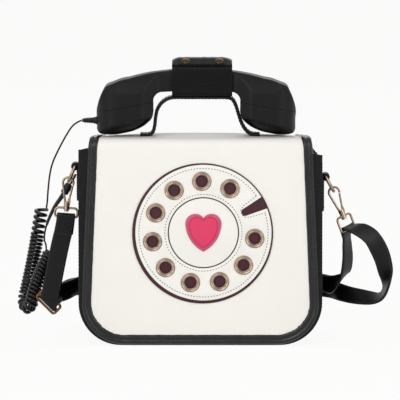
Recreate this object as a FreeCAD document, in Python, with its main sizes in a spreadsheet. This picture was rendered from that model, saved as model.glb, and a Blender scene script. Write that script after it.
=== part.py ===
"""Telephone-shaped crossbody bag: a leather flap bag with a sewn dial, a corded handset and a shoulder strap.

Millimetres, +Z up. The origin is the middle of the base, the front faces -Y and +X is on the viewer's right.
"""
import FreeCAD, Part
import Sketcher
import math
import os
import re

from FreeCAD import Rotation, Vector

doc = FreeCAD.newDocument("phone_bag")

SIZES = {
    # bag body
    "bag_width": 242.0,
    "bag_depth": 82.0,
    "mouth_gap": 13.0,
    "corner_round": 42.0,
    "back_round": 20.0,
    "leather": 2.4,
    "lining_thick": 0.8,
    # flap
    "roof_height": 206.0,
    "flap_top_width": 222.0,
    "flap_low_width": 239.0,
    "flap_bottom": 1.5,
    "flap_leather": 2.4,
    "flap_lining_thick": 0.8,
    "flap_gap": 0.8,
    "flap_bend": 9.0,
    "flap_round": 42.0,
    "binding_width": 9.4,
    "binding_proud": 0.8,
    "welt_radius": 2.4,
    "welt_flat": 1.9,
    "hinge_gap": 0.4,
    # magnets
    "magnet_radius": 8.0,
    "magnet_height": 45.0,
    "magnet_gap": 0.4,
    # dial
    "dial_offset": 3.0,
    "dial_height": 112.8,
    "dial_radius": 67.5,
    "dial_base_radius": 69.9,
    "dial_base_shift": 0.8,
    "dial_layer": 1.0,
    "dial_inner_radius": 35.4,
    "dial_groove": 1.2,
    "eyelet_circle": 51.2,
    "eyelet_radius": 9.4,
    "eyelet_hole": 6.0,
    "eyelet_barrel": 7.0,
    "eyelet_height": 0.9,
    "eyelet_places": 11,
    "eyelet_first_angle": 59.1,
    "notch_start": 42.5,
    "notch_width": 6.6,
    "notch_rim_width": 13.0,
    "heart_width": 35.8,
    "heart_height": 37.6,
    "heart_rim": 2.4,
    # handle
    "handle_width": 24.0,
    "handle_thick": 3.0,
    "handle_left": 40.0,
    "handle_right": 32.0,
    "handle_left_splay": 6.0,
    "handle_right_splay": 13.0,
    "handle_left_shoulder": 14.0,
    "handle_right_shoulder": 9.0,
    "handle_foot": 12.0,
    # handset
    "handset_shift": -3.6,
    "handset_length": 200.8,
    "handset_rise": 1.8,
    "grip_rise": 43.6,
    "grip_height": 25.1,
    "grip_depth": 28.0,
    "grip_arch": 11.1,
    "grip_sag": 1.2,
    "head_width": 57.0,
    "head_height": 46.5,
    "head_depth": 52.0,
    "crown_width": 14.0,
    "rim_width": 40.0,
    "cap_height": 28.0,
    "cap_tilt": 10.0,
    "cup_rise": 12.2,
    "cup_roll": 14.0,
    "cup_tilt": 13.0,
    "shell_wall": 3.0,
    "capsule_radius": 17.0,
    "capsule_thick": 6.0,
    "cavity_height": 22.0,
    "boot_length": 14.0,
    "boot_radius": 3.0,
    "boot_tip_radius": 2.4,
    "boot_height": 13.4,
    # handset holder
    "holder_shift": 1.7,
    "holder_width": 60.0,
    "holder_leather": 2.2,
    "holder_clearance": 0.5,
    "holder_split_rise": 54.6,
    "cradle_gap": 2.0,
    "holder_seam": 0.8,
    "holder_layer_gap": 1.85,
    "holder_crown": 1.2,
    "snap_left": 14.6,
    "snap_right": 18.9,
    "snap_radius": 4.4,
    "snap_dome": 1.6,
    "stud_radius": 3.4,
    "stud_length": 2.6,
    "stud_gap": 0.32,
    # side hardware
    "tab_width": 18.0,
    "tab_leather": 2.4,
    "tab_tail": 34.0,
    "ring_left_height": 175.5,
    "ring_right_height": 165.0,
    "ring_wire": 1.6,
    "ring_width": 22.4,
    "ring_drop": 17.0,
    "ring_corner": 1.9,
    "ring_left_tilt": 24.0,
    "ring_right_tilt": 29.0,
    "running_clearance": 0.06,
    "hook_left_tilt": 4.0,
    "hook_right_tilt": 21.0,
    "hook_wire": 1.15,
    "hook_eye": 5.3,
    "hook_length": 23.0,
    "hook_slack": 1.35,
    "hook_base_radius": 3.1,
    "hook_base_height": 4.0,
    "hook_post": 1.6,
    "gate_pin": 0.7,
    "gate_gap": 0.4,
    "loop_wire": 1.2,
    "loop_width": 22.4,
    "loop_left_drop": 9.0,
    "loop_right_drop": 14.0,
    "loop_boss": 3.0,
    "loop_boss_height": 4.0,
    "loop_right_turn": 50.0,
    # shoulder strap
    "strap_width": 18.4,
    "strap_thick": 2.2,
    "slider_wire": 1.3,
    "slider_width": 11.0,
    "slider_margin": 0.5,
    # cord
    "lead_diameter": 1.8,
    "cord_gap": 0.32,
    "curl_wire": 3.4,
    "curl_outer": 12.8,
    "curl_pitch": 4.3,
    "curl_gap": 0.9,
    "curl_loose_pitch": 6.6,
    "curl_loose_turns": 4,
    "plug_boot_radius": 2.1,
    "plug_radius": 4.0,
    "plug_length": 11.0,
    "jack_radius": 1.75,
    "jack_length": 12.0,
}

sheet = doc.addObject("Spreadsheet::Sheet", "Sizes")
for row, (alias, number) in enumerate(SIZES.items(), start=1):
    sheet.set("A%d" % row, alias)
    sheet.set("B%d" % row, "%g" % number)
    sheet.setAlias("B%d" % row, alias)
doc.recompute()


class SheetValues:
    """The sheet's numbers as attributes, for shapes that are worked out in code."""

    def __getattr__(self, alias):
        return float(sheet.get(alias))


v = SheetValues()
PARTS = []


def formula(text):
    """Point every size named in an expression at the sheet."""
    return re.sub(r"[a-z_]{3,}", lambda m: "Sizes." + m.group() if m.group() in SIZES else m.group(), text)


def bind(obj, formulas):
    for path, text in formulas.items():
        obj.setExpression(path, formula(text))


def move_to(obj, x="0", y="0", z="0"):
    bind(obj, {"Placement.Base.x": x, "Placement.Base.y": y, "Placement.Base.z": z})
    return obj


def node(obj, label):
    """Give a finished sub-part the name of its file."""
    obj.Label = label
    PARTS.append(obj)
    return obj


def box(name, length, width, height, x="0", y="0", z="0"):
    obj = doc.addObject("Part::Box", name)
    bind(obj, {"Length": length, "Width": width, "Height": height})
    return move_to(obj, x, y, z)


def turned_cylinder(name, radius, height, place, turn):
    """A cylinder that stands at a place that is worked out in code."""
    obj = doc.addObject("Part::Cylinder", name)
    obj.Placement = FreeCAD.Placement(place, turn)
    bind(obj, {"Radius": radius, "Height": height})
    return obj


def cylinder(name, radius, height, x="0", y="0", z="0", along=Vector(0, 0, 1)):
    obj = doc.addObject("Part::Cylinder", name)
    obj.Placement = FreeCAD.Placement(Vector(), Rotation(Vector(0, 0, 1), along))
    bind(obj, {"Radius": radius, "Height": height})
    return move_to(obj, x, y, z)


def cone(name, radius, tip_radius, height, x="0", y="0", z="0", along=Vector(0, 0, 1)):
    obj = doc.addObject("Part::Cone", name)
    obj.Placement = FreeCAD.Placement(Vector(), Rotation(Vector(0, 0, 1), along))
    bind(obj, {"Radius1": radius, "Radius2": tip_radius, "Height": height})
    return move_to(obj, x, y, z)


def cut(name, base, tool):
    obj = doc.addObject("Part::Cut", name)
    obj.Base = base
    obj.Tool = tool
    return obj


def common(name, base, tool):
    obj = doc.addObject("Part::Common", name)
    obj.Base = base
    obj.Tool = tool
    return obj


def fuse(name, *shapes):
    obj = doc.addObject("Part::MultiFuse", name)
    obj.Shapes = list(shapes)
    return obj


def solid(name, shape, origin=None):
    """A piece whose shape is worked out in code. Its placement follows its shape."""
    obj = doc.addObject("Part::Feature", name)
    obj.Shape = shape
    obj.Placement = FreeCAD.Placement(origin or Vector(), Rotation())
    return obj


def plane_of(body, role):
    return next(f for f in body.Origin.OriginFeatures if f.Role == role)


def close_corners(sketch):
    """Join the ends of neighbouring edges where they meet."""
    ends = [(g, p, sketch.getPoint(g, p)) for g in range(sketch.GeometryCount) for p in (1, 2)]
    for i, (geo_a, pos_a, point_a) in enumerate(ends):
        for geo_b, pos_b, point_b in ends[i + 1:]:
            if geo_a != geo_b and point_a.distanceToPoint(point_b) < 1e-6:
                sketch.addConstraint(Sketcher.Constraint("Coincident", geo_a, pos_a, geo_b, pos_b))


def line(p, q):
    return Part.LineSegment(Vector(*p, 0), Vector(*q, 0))


def arc(p, through, q):
    return Part.Arc(Vector(*p, 0), Vector(*through, 0), Vector(*q, 0))


def padded(name, plane, edges, length, offset="0", symmetric=False, radii=()):
    """A body with one sketch, padded. Circles and arcs listed in radii are driven from the sheet."""
    body = doc.addObject("PartDesign::Body", name)
    sketch = body.newObject("Sketcher::SketchObject", name + "_sketch")
    sketch.AttachmentSupport = (plane_of(body, plane), [""])
    sketch.MapMode = "FlatFace"
    sketch.setExpression("AttachmentOffset.Base.z", formula(offset))
    sketch.addGeometry(list(edges), False)
    close_corners(sketch)
    for geo, text in radii:
        index = sketch.addConstraint(Sketcher.Constraint("Radius", geo, sketch.Geometry[geo].Radius))
        sketch.setExpression("Constraints[%d]" % index, formula(text))
    pad = body.newObject("PartDesign::Pad", name + "_pad")
    pad.Profile = sketch
    pad.setExpression("Length", formula(length))
    pad.Midplane = symmetric
    return body


def circle(centre, radius):
    return Part.Circle(Vector(*centre, 0), Vector(0, 0, 1), radius)


def rounded_polygon(corners):
    """Lines and tangent arcs round a closed row of (x, y, radius) corners."""
    ends = []
    for i, (x, y, radius) in enumerate(corners):
        corner = Vector(x, y)
        to_last = (Vector(*corners[i - 1][:2]) - corner).normalize()
        to_next = (Vector(*corners[(i + 1) % len(corners)][:2]) - corner).normalize()
        if radius <= 0:
            ends.append((corner, None, corner))
            continue
        half_angle = to_last.getAngle(to_next) / 2
        reach = radius / math.tan(half_angle)
        middle_way = (to_last + to_next).normalize()
        middle = corner + middle_way * (radius / math.sin(half_angle) - radius)
        ends.append((corner + to_last * reach, middle, corner + to_next * reach))
    edges = []
    for i, (start, middle, end) in enumerate(ends):
        if middle is not None:
            edges.append(Part.Arc(start, middle, end))
        following = ends[(i + 1) % len(ends)][0]
        if end.distanceToPoint(following) > 1e-6:
            edges.append(Part.LineSegment(end, following))
    return edges


# Bag body: two panels with round lower corners, one gusset strip round both sides and the base, and a lining.

half_depth = v.bag_depth / 2
hinge_y = half_depth - v.leather / 2
hinge_z = v.roof_height - (v.flap_leather + v.flap_lining_thick) / 2
back_top = hinge_z - v.welt_flat
bag_top = v.roof_height - v.mouth_gap


def bag_outline(inset, top, top_round=0):
    half = v.bag_width / 2 - inset
    radius = v.corner_round - inset
    return rounded_polygon([(-half, top, top_round), (-half, inset, radius), (half, inset, radius),
                            (half, top, top_round)])


def make_bag_body():
    front = padded("front_blank", "XZ_Plane", bag_outline(0, bag_top), "leather", "bag_depth / 2 - leather",
                   radii=[(1, "corner_round")])
    magnet_hole = cylinder("magnet_hole", "magnet_radius", "leather", "0", "-bag_depth / 2 + leather",
                           "magnet_height", along=Vector(0, -1, 0))
    node(cut("front_cut", front, magnet_hole), "front_panel")
    node(cylinder("body_magnet", "magnet_radius", "leather", "0", "-bag_depth / 2 + leather",
                  "magnet_height", along=Vector(0, -1, 0)), "body_magnet")
    node(padded("back_body", "XZ_Plane", bag_outline(0, back_top, v.back_round), "leather", "-bag_depth / 2",
                radii=[(0, "back_round"), (2, "corner_round")]), "back_panel")

    above = bag_top + v.leather
    strip = padded("gusset_blank", "XZ_Plane", bag_outline(0, bag_top), "bag_depth - 2 * leather",
                   symmetric=True)
    inside = padded("gusset_inside", "XZ_Plane", bag_outline(v.leather, above), "bag_depth", symmetric=True)
    node(cut("gusset_cut", strip, inside), "gusset")

    liner = padded("lining_blank", "XZ_Plane", bag_outline(v.leather, bag_top), "bag_depth - 2 * leather",
                   symmetric=True)
    room = padded("lining_room", "XZ_Plane", bag_outline(v.leather + v.lining_thick, above),
                  "bag_depth - 2 * leather - 2 * lining_thick", symmetric=True)
    node(cut("lining_cut", liner, room), "lining")

    welt = cylinder("welt_round", "welt_radius", "flap_top_width", "-flap_top_width / 2", "bag_depth / 2 - leather / 2",
                    "roof_height - (flap_leather + flap_lining_thick) / 2", along=Vector(1, 0, 0))
    under = box("welt_under", "flap_top_width", "2 * welt_radius", "welt_radius", "-flap_top_width / 2",
                "bag_depth / 2 - leather / 2 - welt_radius",
                "roof_height - (flap_leather + flap_lining_thick) / 2 - welt_flat - welt_radius")
    node(cut("welt_cut", welt, under), "hinge_welt")


# Flap: a sheet that runs over the roof, bends at the front edge and hangs to the base, with a bound edge.

flap_front = -(half_depth + v.flap_gap + v.flap_lining_thick + v.flap_leather)
flap_rear = hinge_y - v.welt_radius - v.hinge_gap


def flap_profile(outer, inner):
    """The flap seen from the side, between two depths below its outer surface."""
    low = 0.0
    bend = v.roof_height - v.flap_bend
    turn = flap_front + v.flap_bend

    def bend_arc(depth):
        radius = v.flap_bend - depth
        slant = radius * math.sqrt(0.5)
        return arc((flap_front + depth, bend), (turn - slant, bend + slant), (turn, v.roof_height - depth))

    return [
        line((flap_front + outer, low), (flap_front + outer, bend)),
        bend_arc(outer),
        line((turn, v.roof_height - outer), (flap_rear, v.roof_height - outer)),
        line((flap_rear, v.roof_height - outer), (flap_rear, v.roof_height - inner)),
        line((flap_rear, v.roof_height - inner), (turn, v.roof_height - inner)),
        bend_arc(inner),
        line((flap_front + inner, bend), (flap_front + inner, low)),
        line((flap_front + inner, low), (flap_front + outer, low)),
    ]


def flap_outline(inset):
    """The flap seen from the front, widening towards the bottom."""
    above = 2 * v.binding_proud
    top = v.roof_height + above
    spread = (v.flap_low_width - v.flap_top_width) / 2 / v.roof_height
    top_half = v.flap_top_width / 2 - inset - spread * above
    low_half = v.flap_low_width / 2 - inset - spread * (v.flap_bottom + inset)
    bottom = v.flap_bottom + inset
    radius = v.flap_round - inset
    return rounded_polygon([(-top_half, top, 0), (-low_half, bottom, radius), (low_half, bottom, radius),
                            (top_half, top, 0)])


def flap_sheet(name, outer, inner, inset):
    side = padded(name + "_side", "YZ_Plane", flap_profile(outer, inner), "flap_low_width", symmetric=True)
    face = padded(name + "_face", "XZ_Plane", flap_outline(inset), "2 * bag_depth", symmetric=True)
    return common(name + "_sheet", side, face)


def make_flap():
    lined = v.flap_leather + v.flap_lining_thick
    node(flap_sheet("flap", 0, v.flap_leather, v.binding_width), "flap_panel")

    lining = flap_sheet("flap_liner", v.flap_leather, lined, v.binding_width)
    magnet_y = "-bag_depth / 2 - flap_gap - flap_lining_thick"
    hole = cylinder("flap_magnet_hole", "magnet_radius", "flap_lining_thick", "0", magnet_y, "magnet_height",
                    along=Vector(0, 1, 0))
    node(cut("flap_liner_cut", lining, hole), "flap_lining")
    node(cylinder("flap_magnet", "magnet_radius", "flap_lining_thick + flap_gap - magnet_gap", "0", magnet_y,
                  "magnet_height", along=Vector(0, 1, 0)), "flap_magnet")

    edge = flap_sheet("binding", -v.binding_proud, lined, 0)
    window = padded("binding_window", "XZ_Plane", flap_outline(v.binding_width), "2 * bag_depth", symmetric=True)
    node(cut("binding_cut", edge, window), "flap_binding")


# Dial motif: flat layers sewn on the front of the flap, with ten eyelets and a heart.

def heart_outline(width, height, centre):
    """Two round lobes with a shallow dip between them, and two full sides that meet in a point."""
    x, z = centre
    half = width / 2
    top = z + height / 2
    dip, tip = (x, top - 0.108 * height), (x, z - height / 2)
    edges = []
    for side in (1, -1):
        lobe, widest = (x + side * 0.54 * half, top), (x + side * half, top - 0.26 * height)
        edges.append(arc(dip, lobe, widest))
        edges.append(arc(widest, (x + side * 0.735 * half, top - 0.68 * height), tip))
    return edges


def dial_cell(radius, angle):
    turn = math.radians(angle)
    return (v.dial_offset + radius * math.cos(turn), v.dial_height + radius * math.sin(turn))


def make_dial():
    front = "bag_depth / 2 + flap_gap + flap_lining_thick + flap_leather"
    centre = (v.dial_offset, v.dial_height)
    base_centre = (centre[0] - v.dial_base_shift, centre[1] - v.dial_base_shift)
    node(padded("dial_base", "XZ_Plane", [circle(base_centre, v.dial_base_radius)], "dial_layer", front,
                radii=[(0, "dial_base_radius")]), "dial_base")

    step = 360.0 / v.eyelet_places
    angles = [v.eyelet_first_angle + step * k for k in range(int(v.eyelet_places) - 1)]
    stop_angle = v.eyelet_first_angle - step
    rings = [circle(centre, v.dial_radius), circle(centre, v.dial_inner_radius)]
    holes = [circle(dial_cell(v.eyelet_circle, a), v.eyelet_barrel) for a in angles]
    ring = padded("dial_ring_blank", "XZ_Plane", rings + holes, "dial_layer", front + " + dial_layer",
                  radii=[(0, "dial_radius"), (1, "dial_inner_radius")] + [(2, "eyelet_barrel")])

    along = Vector(math.cos(math.radians(stop_angle)), math.sin(math.radians(stop_angle)))
    across = Vector(-along.y, along.x)
    middle = Vector(*centre)
    rim = v.dial_radius + v.dial_layer

    def notch_point(out, side, width, radius=0):
        place = middle + along * out + across * (side * width / 2)
        return (place.x, place.y, radius)

    inner_round = 0.45 * v.notch_width
    corners = [notch_point(v.notch_start, -1, v.notch_width, inner_round), notch_point(rim, -1, v.notch_rim_width),
               notch_point(rim, 1, v.notch_rim_width), notch_point(v.notch_start, 1, v.notch_width, inner_round)]
    notch = padded("dial_notch", "XZ_Plane", rounded_polygon(corners), "3 * dial_layer", front)
    node(cut("dial_ring_cut", ring, notch), "dial_ring")

    node(padded("dial_centre", "XZ_Plane", [circle(centre, v.dial_inner_radius - v.dial_groove)], "dial_layer",
                front + " + dial_layer", radii=[(0, "dial_inner_radius - dial_groove")]), "dial_centre")

    face_y = flap_front - 2 * v.dial_layer
    eyelets = []
    for angle in angles:
        x, z = dial_cell(v.eyelet_circle, angle)
        flange = Part.makeCylinder(v.eyelet_radius, v.eyelet_height, Vector(x, face_y, z), Vector(0, -1, 0))
        rim_edge = [e for e in flange.Edges if e.Curve.TypeId == "Part::GeomCircle"
                    and e.CenterOfMass.y < face_y - v.eyelet_height / 2]
        flange = flange.makeFillet(v.eyelet_height / 2, rim_edge)
        barrel = Part.makeCylinder(v.eyelet_barrel, v.dial_layer, Vector(x, face_y, z), Vector(0, 1, 0))
        bore = Part.makeCylinder(v.eyelet_hole, v.dial_layer + v.eyelet_height,
                                 Vector(x, face_y + v.dial_layer, z), Vector(0, -1, 0))
        eyelets.append(flange.fuse(barrel).cut(bore))
    node(solid("eyelet_set", Part.makeCompound(eyelets)), "dial_eyelets")

    node(padded("heart_base", "XZ_Plane", heart_outline(v.heart_width, v.heart_height, centre), "dial_layer",
                front + " + 2 * dial_layer"), "heart_base")
    node(padded("heart_top", "XZ_Plane",
                heart_outline(v.heart_width - 2 * v.heart_rim, v.heart_height - 2 * v.heart_rim, centre),
                "dial_layer", front + " + 3 * dial_layer"), "heart_top")


handset_base = v.roof_height + v.handset_rise
grip_top = handset_base + v.grip_rise + v.grip_height
head_inner = v.handset_length / 2 - v.head_width
head_middle = head_inner + v.head_width / 2
handle_top = handset_base + v.grip_rise - v.grip_sag - v.cradle_gap - v.holder_leather
holder_split = handset_base + v.holder_split_rise


# Top handle: one strap that rises from the roof in an arch, with two feet sewn down.

def strip_outline(points, thick):
    """The closed outline of a bent strip of even thickness along (x, y, radius) points of its middle line."""
    places = [Vector(x, y) for x, y, radius in points]
    left, right = [], []
    for i, (x, y, radius) in enumerate(points):
        before = (places[i] - places[i - 1]).normalize() if i else None
        after = (places[i + 1] - places[i]).normalize() if i + 1 < len(places) else None
        way = ((before or after) + (after or before)).normalize()
        side = Vector(-way.y, way.x)
        reach = thick / 2
        turn = 0.0
        if before and after:
            reach /= math.cos(before.getAngle(after) / 2)
            turn = math.copysign(thick / 2, before.cross(after).z)
        upper, lower = places[i] + side * reach, places[i] - side * reach
        left.append((upper.x, upper.y, max(radius - turn, 0)))
        right.append((lower.x, lower.y, max(radius + turn, 0)))
    return rounded_polygon(left + right[::-1])


def make_handle():
    foot_level = v.roof_height + v.handle_thick / 2
    top_level = handle_top - v.handle_thick / 2
    foot_round = 1.5 * v.handle_thick
    left_foot = -v.handle_left - v.handle_left_splay
    right_foot = v.handle_right + v.handle_right_splay
    points = [
        (left_foot - v.handle_foot, foot_level, 0),
        (left_foot, foot_level, foot_round),
        (-v.handle_left, top_level, v.handle_left_shoulder),
        (v.handle_right, top_level, v.handle_right_shoulder),
        (right_foot, foot_level, foot_round),
        (right_foot + v.handle_foot, foot_level, 0),
    ]
    node(padded("handle_body", "XZ_Plane", strip_outline(points, v.handle_thick), "handle_width", symmetric=True),
         "top_handle")


# Handset: an arched grip with two heads, split into a shell and two screwed-on caps.

def handset_silhouette():
    """The handset seen from the front, as arcs. Head points are shares of the head's own width and height."""
    def head(side, across, up):
        return (v.handset_shift + side * (head_inner + across * v.head_width), handset_base + up * v.head_height)

    def grip(side, out, up):
        return (v.handset_shift + side * out, handset_base + up)

    grip_end = head_inner + 0.43 * v.head_width
    under_end = head_inner - 0.13 * v.head_width
    back_drop = v.grip_rise + v.grip_height - v.grip_arch
    edges = [
        arc(grip(-1, grip_end, back_drop), grip(1, 0, v.grip_rise + v.grip_height), grip(1, grip_end, back_drop)),
        arc(grip(-1, under_end, v.grip_rise - v.grip_sag), grip(1, 0, v.grip_rise),
            grip(1, under_end, v.grip_rise - v.grip_sag)),
    ]
    for side in (1, -1):
        edges += [
            arc(grip(side, grip_end, back_drop), head(side, 0.68, 1.15), head(side, 0.844, 1.0)),
            arc(head(side, 0.844, 1.0), head(side, 0.968, 0.667), head(side, 1.0, 0.333)),
            arc(head(side, 1.0, 0.333), head(side, 0.98, 0.0925), head(side, 0.853, 0.0)),
            arc(head(side, 0.853, 0.0), head(side, 0.361, 0.047), head(side, 0.072, 0.284)),
            arc(head(side, 0.072, 0.284), head(side, 0.014, 0.387), head(side, 0.0, 0.538)),
            line(head(side, 0.0, 0.538), head(side, 0.0, 0.688)),
            arc(head(side, 0.0, 0.688), head(side, -0.036, 0.845), grip(side, under_end, v.grip_rise - v.grip_sag)),
        ]
    return edges


def handset_plan():
    """The handset seen from above: a narrow grip that flares into two round heads."""
    half = v.handset_length / 2
    grip = v.grip_depth / 2
    head = v.head_depth / 2
    flare = 0.2 * v.head_width
    quarter = [(head_inner - flare / 2, grip, flare), (head_inner + flare, head, flare), (half, head, 0.9 * head)]
    corners = [(v.handset_shift + x, y, r) for x, y, r in quarter]
    corners += [(v.handset_shift + x, -y, r) for x, y, r in quarter[::-1]]
    corners += [(v.handset_shift - x, -y, r) for x, y, r in quarter]
    corners += [(v.handset_shift - x, y, r) for x, y, r in quarter[::-1]]
    return rounded_polygon(corners)


def handset_section():
    """The handset seen from its end: round shoulders at the top and round rims at the bottom."""
    head, crown, rim = v.head_depth / 2, v.crown_width / 2, v.rim_width / 2
    top = grip_top + v.shell_wall / 10
    shoulder = handset_base + v.head_height - v.cap_tilt / 2
    low, rim_end = handset_base - v.shell_wall, handset_base + v.shell_wall
    edges = [line((-crown, top), (crown, top)), line((-rim, low), (rim, low))]
    for side in (1, -1):
        edges += [
            arc((side * crown, top), (side * 0.73 * head, top - 0.45 * v.grip_height), (side * head, shoulder)),
            line((side * head, shoulder), (side * head, handset_base + v.cap_height / 3)),
            arc((side * head, handset_base + v.cap_height / 3), (side * 0.95 * head, rim_end), (side * rim, low)),
        ]
    return edges


def grip_hollow():
    """The space inside the grip, which runs into the space in each head."""
    high = handset_base + v.grip_rise + v.grip_height / 2 - v.shell_wall / 5
    low = high - 0.33 * v.grip_height
    middle, end = 0.5 * head_inner, head_inner + 0.26 * v.head_width
    points = [(-end, low, 0), (-middle, high, head_inner), (middle, high, head_inner), (end, low, 0)]
    points = [(v.handset_shift + x, z, r) for x, z, r in points]
    return padded("grip_hollow", "XZ_Plane", strip_outline(points, v.grip_height - 2.2 * v.shell_wall),
                  "grip_depth - 2 * shell_wall", symmetric=True)


def cup_face(name, side):
    """The space in front of one slanted cup face: the face looks forward, down and a little outward."""
    space = doc.addObject("Part::Box", "cup_face_" + name)
    bind(space, {"Length": "2 * head_width", "Width": "2 * head_depth", "Height": "cup_rise + cap_height"})
    turn = Rotation(Vector(0, 1, 0), side * v.cup_tilt).multiply(Rotation(Vector(1, 0, 0), -v.cup_roll))
    rim = Vector(v.handset_shift + side * head_middle, -v.head_depth / 2, handset_base + v.cup_rise)
    corner = turn.multVec(Vector(-v.head_width, -v.head_depth / 2, -v.cup_rise - v.cap_height))
    space.Placement = FreeCAD.Placement(rim + corner, turn)
    return space


def make_handset():
    front = padded("handset_front", "XZ_Plane", handset_silhouette(), "head_depth", symmetric=True)
    plan = padded("handset_plan", "XY_Plane", handset_plan(), "roof_height + grip_rise + 2 * grip_height")
    end = padded("handset_end", "YZ_Plane", handset_section(), "2 * handset_length", symmetric=True)
    block = common("handset_block", common("handset_prism", front, plan), end)
    block = cut("handset_cups", block, fuse("cup_faces", cup_face("left", -1), cup_face("right", 1)))
    caps, cavities = [], []
    for name, part_label, capsule_label, side in (("ear", "ear_cap", "receiver_capsule", -1),
                                                  ("mouth", "mouth_cap", "microphone_capsule", 1)):
        x = v.handset_shift + side * head_middle
        z = handset_base + v.cap_height
        slope = side * v.cap_tilt
        below = doc.addObject("Part::Box", name + "_below")
        bind(below, {"Length": "2 * head_width", "Width": "2 * head_depth", "Height": "2 * cap_height"})
        turn = Rotation(Vector(0, 1, 0), slope)
        corner = turn.multVec(Vector(-v.head_width, -v.head_depth, -2 * v.cap_height))
        below.Placement = FreeCAD.Placement(Vector(x, 0, z) + corner, turn)
        down = turn.multVec(Vector(0, 0, -1))
        floor = Vector(x, 0, z) + down * (1.5 * v.capsule_thick)
        cavity = turned_cylinder(name + "_cavity", "capsule_radius + shell_wall / 10", "cavity_height", floor, turn)
        node(cut(name + "_cap_cut", common(name + "_cap_block", block, below), cavity), part_label)
        capsule = turned_cylinder(name + "_capsule", "capsule_radius", "capsule_thick", floor, turn)
        node(capsule, capsule_label)
        caps.append(below)
        cavities.append(cavity)
    node(cut("shell_cut", block, fuse("shell_tools", grip_hollow(), *caps, *cavities)), "handset_shell")
    node(cone("boot", "boot_radius", "boot_tip_radius", "boot_length", "handset_shift - handset_length / 2", "0",
              "roof_height + handset_rise + boot_height", along=Vector(-1, 0, 0)), "cord_boot")


# Handset holder: a cradle on the handle, a rear flap that closes over the grip and a front tab with the snap studs.

holder_wall = v.grip_depth / 2 + v.holder_clearance + v.holder_leather / 2
tab_level = grip_top + 1.6 * v.holder_clearance + v.holder_leather / 2
flap_level = tab_level + v.holder_leather + v.holder_layer_gap
tab_round = 3.2 * v.holder_leather


def holder_strip(name, points):
    return padded(name, "YZ_Plane", strip_outline(points, v.holder_leather), "holder_width", "holder_shift",
                  symmetric=True)


def make_holder():
    floor = handle_top + v.holder_leather / 2
    corner = 1.6 * v.holder_leather
    below, above = holder_split - v.holder_seam / 2, holder_split + v.holder_seam / 2
    node(holder_strip("cradle_body", [(holder_wall, below, 0), (holder_wall, floor, corner),
                                      (-holder_wall, floor, corner), (-holder_wall, below, 0)]), "holder_cradle")
    crown = Vector(0, -0.45 * holder_wall, flap_level + v.holder_crown)
    front_lip = Vector(0, -holder_wall - v.holder_clearance * 2, flap_level - 2.2 * v.holder_leather)
    node(holder_strip("rear_flap_body", [
        (holder_wall, above, 0), (holder_wall, flap_level, 4 * v.holder_leather),
        (crown.y, crown.z, 4.5 * v.holder_leather), (front_lip.y, front_lip.z, 0)]), "holder_rear_flap")

    way = (front_lip - crown).normalize()
    normal = Vector(0, way.z, -way.y)
    cap_seat = crown + way * (0.6 * crown.distanceToPoint(front_lip)) + normal * (v.holder_leather / 2)
    stud_top = cap_seat - normal * (v.holder_leather + v.stud_gap)
    places = (Vector(-v.snap_left, 0, 0), Vector(v.snap_right, 0, 0))
    caps = [Part.makeCylinder(v.snap_radius, v.snap_dome, cap_seat + place, normal) for place in places]
    studs = [Part.makeCylinder(v.stud_radius, v.stud_length, stud_top + place, normal * -1) for place in places]
    node(solid("snap_cap_pair", Part.makeCompound(caps)), "snap_caps")
    stud_pair = node(solid("snap_stud_pair", Part.makeCompound(studs)), "snap_studs")
    tab = holder_strip("front_tab_body", [(-holder_wall, above, 0), (-holder_wall, tab_level, tab_round),
                                          (v.holder_leather, tab_level, 0)])
    node(cut("front_tab_cut", tab, stud_pair), "holder_front_tab")


# Side hardware: sewn tabs, D-rings, swivelling snap hooks with sprung gates, and the strap's end loops.

def rod(path, radius):
    """A round wire along one row of joined edges."""
    wire = Part.Wire(path)
    first = wire.OrderedEdges[0]
    start = first.valueAt(first.FirstParameter)
    way = first.tangentAt(first.FirstParameter)
    section = Part.Wire(Part.makeCircle(radius, start, way))
    return wire.makePipeShell([section], True, False)


def rounded_path(points, closed=False):
    """Straight edges and tangent arcs through (place, radius) points in space."""
    ends = []
    for i, (place, radius) in enumerate(points):
        inner = closed or 0 < i < len(points) - 1
        if not inner or radius <= 0:
            ends.append((place, None, place))
            continue
        to_last = (points[i - 1][0] - place).normalize()
        to_next = (points[(i + 1) % len(points)][0] - place).normalize()
        half_angle = to_last.getAngle(to_next) / 2
        reach = radius / math.tan(half_angle)
        middle = place + (to_last + to_next).normalize() * (radius / math.sin(half_angle) - radius)
        ends.append((place + to_last * reach, middle, place + to_next * reach))
    edges = []
    count = len(ends) if closed else len(ends) - 1
    for i, (start, middle, end) in enumerate(ends):
        if middle is not None:
            edges.append(Part.Arc(start, middle, end).toShape())
        if i < count:
            following = ends[(i + 1) % len(ends)][0]
            if end.distanceToPoint(following) > 1e-6:
                edges.append(Part.LineSegment(end, following).toShape())
    return edges


roll_radius = v.ring_wire + v.running_clearance + v.tab_leather


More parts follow.
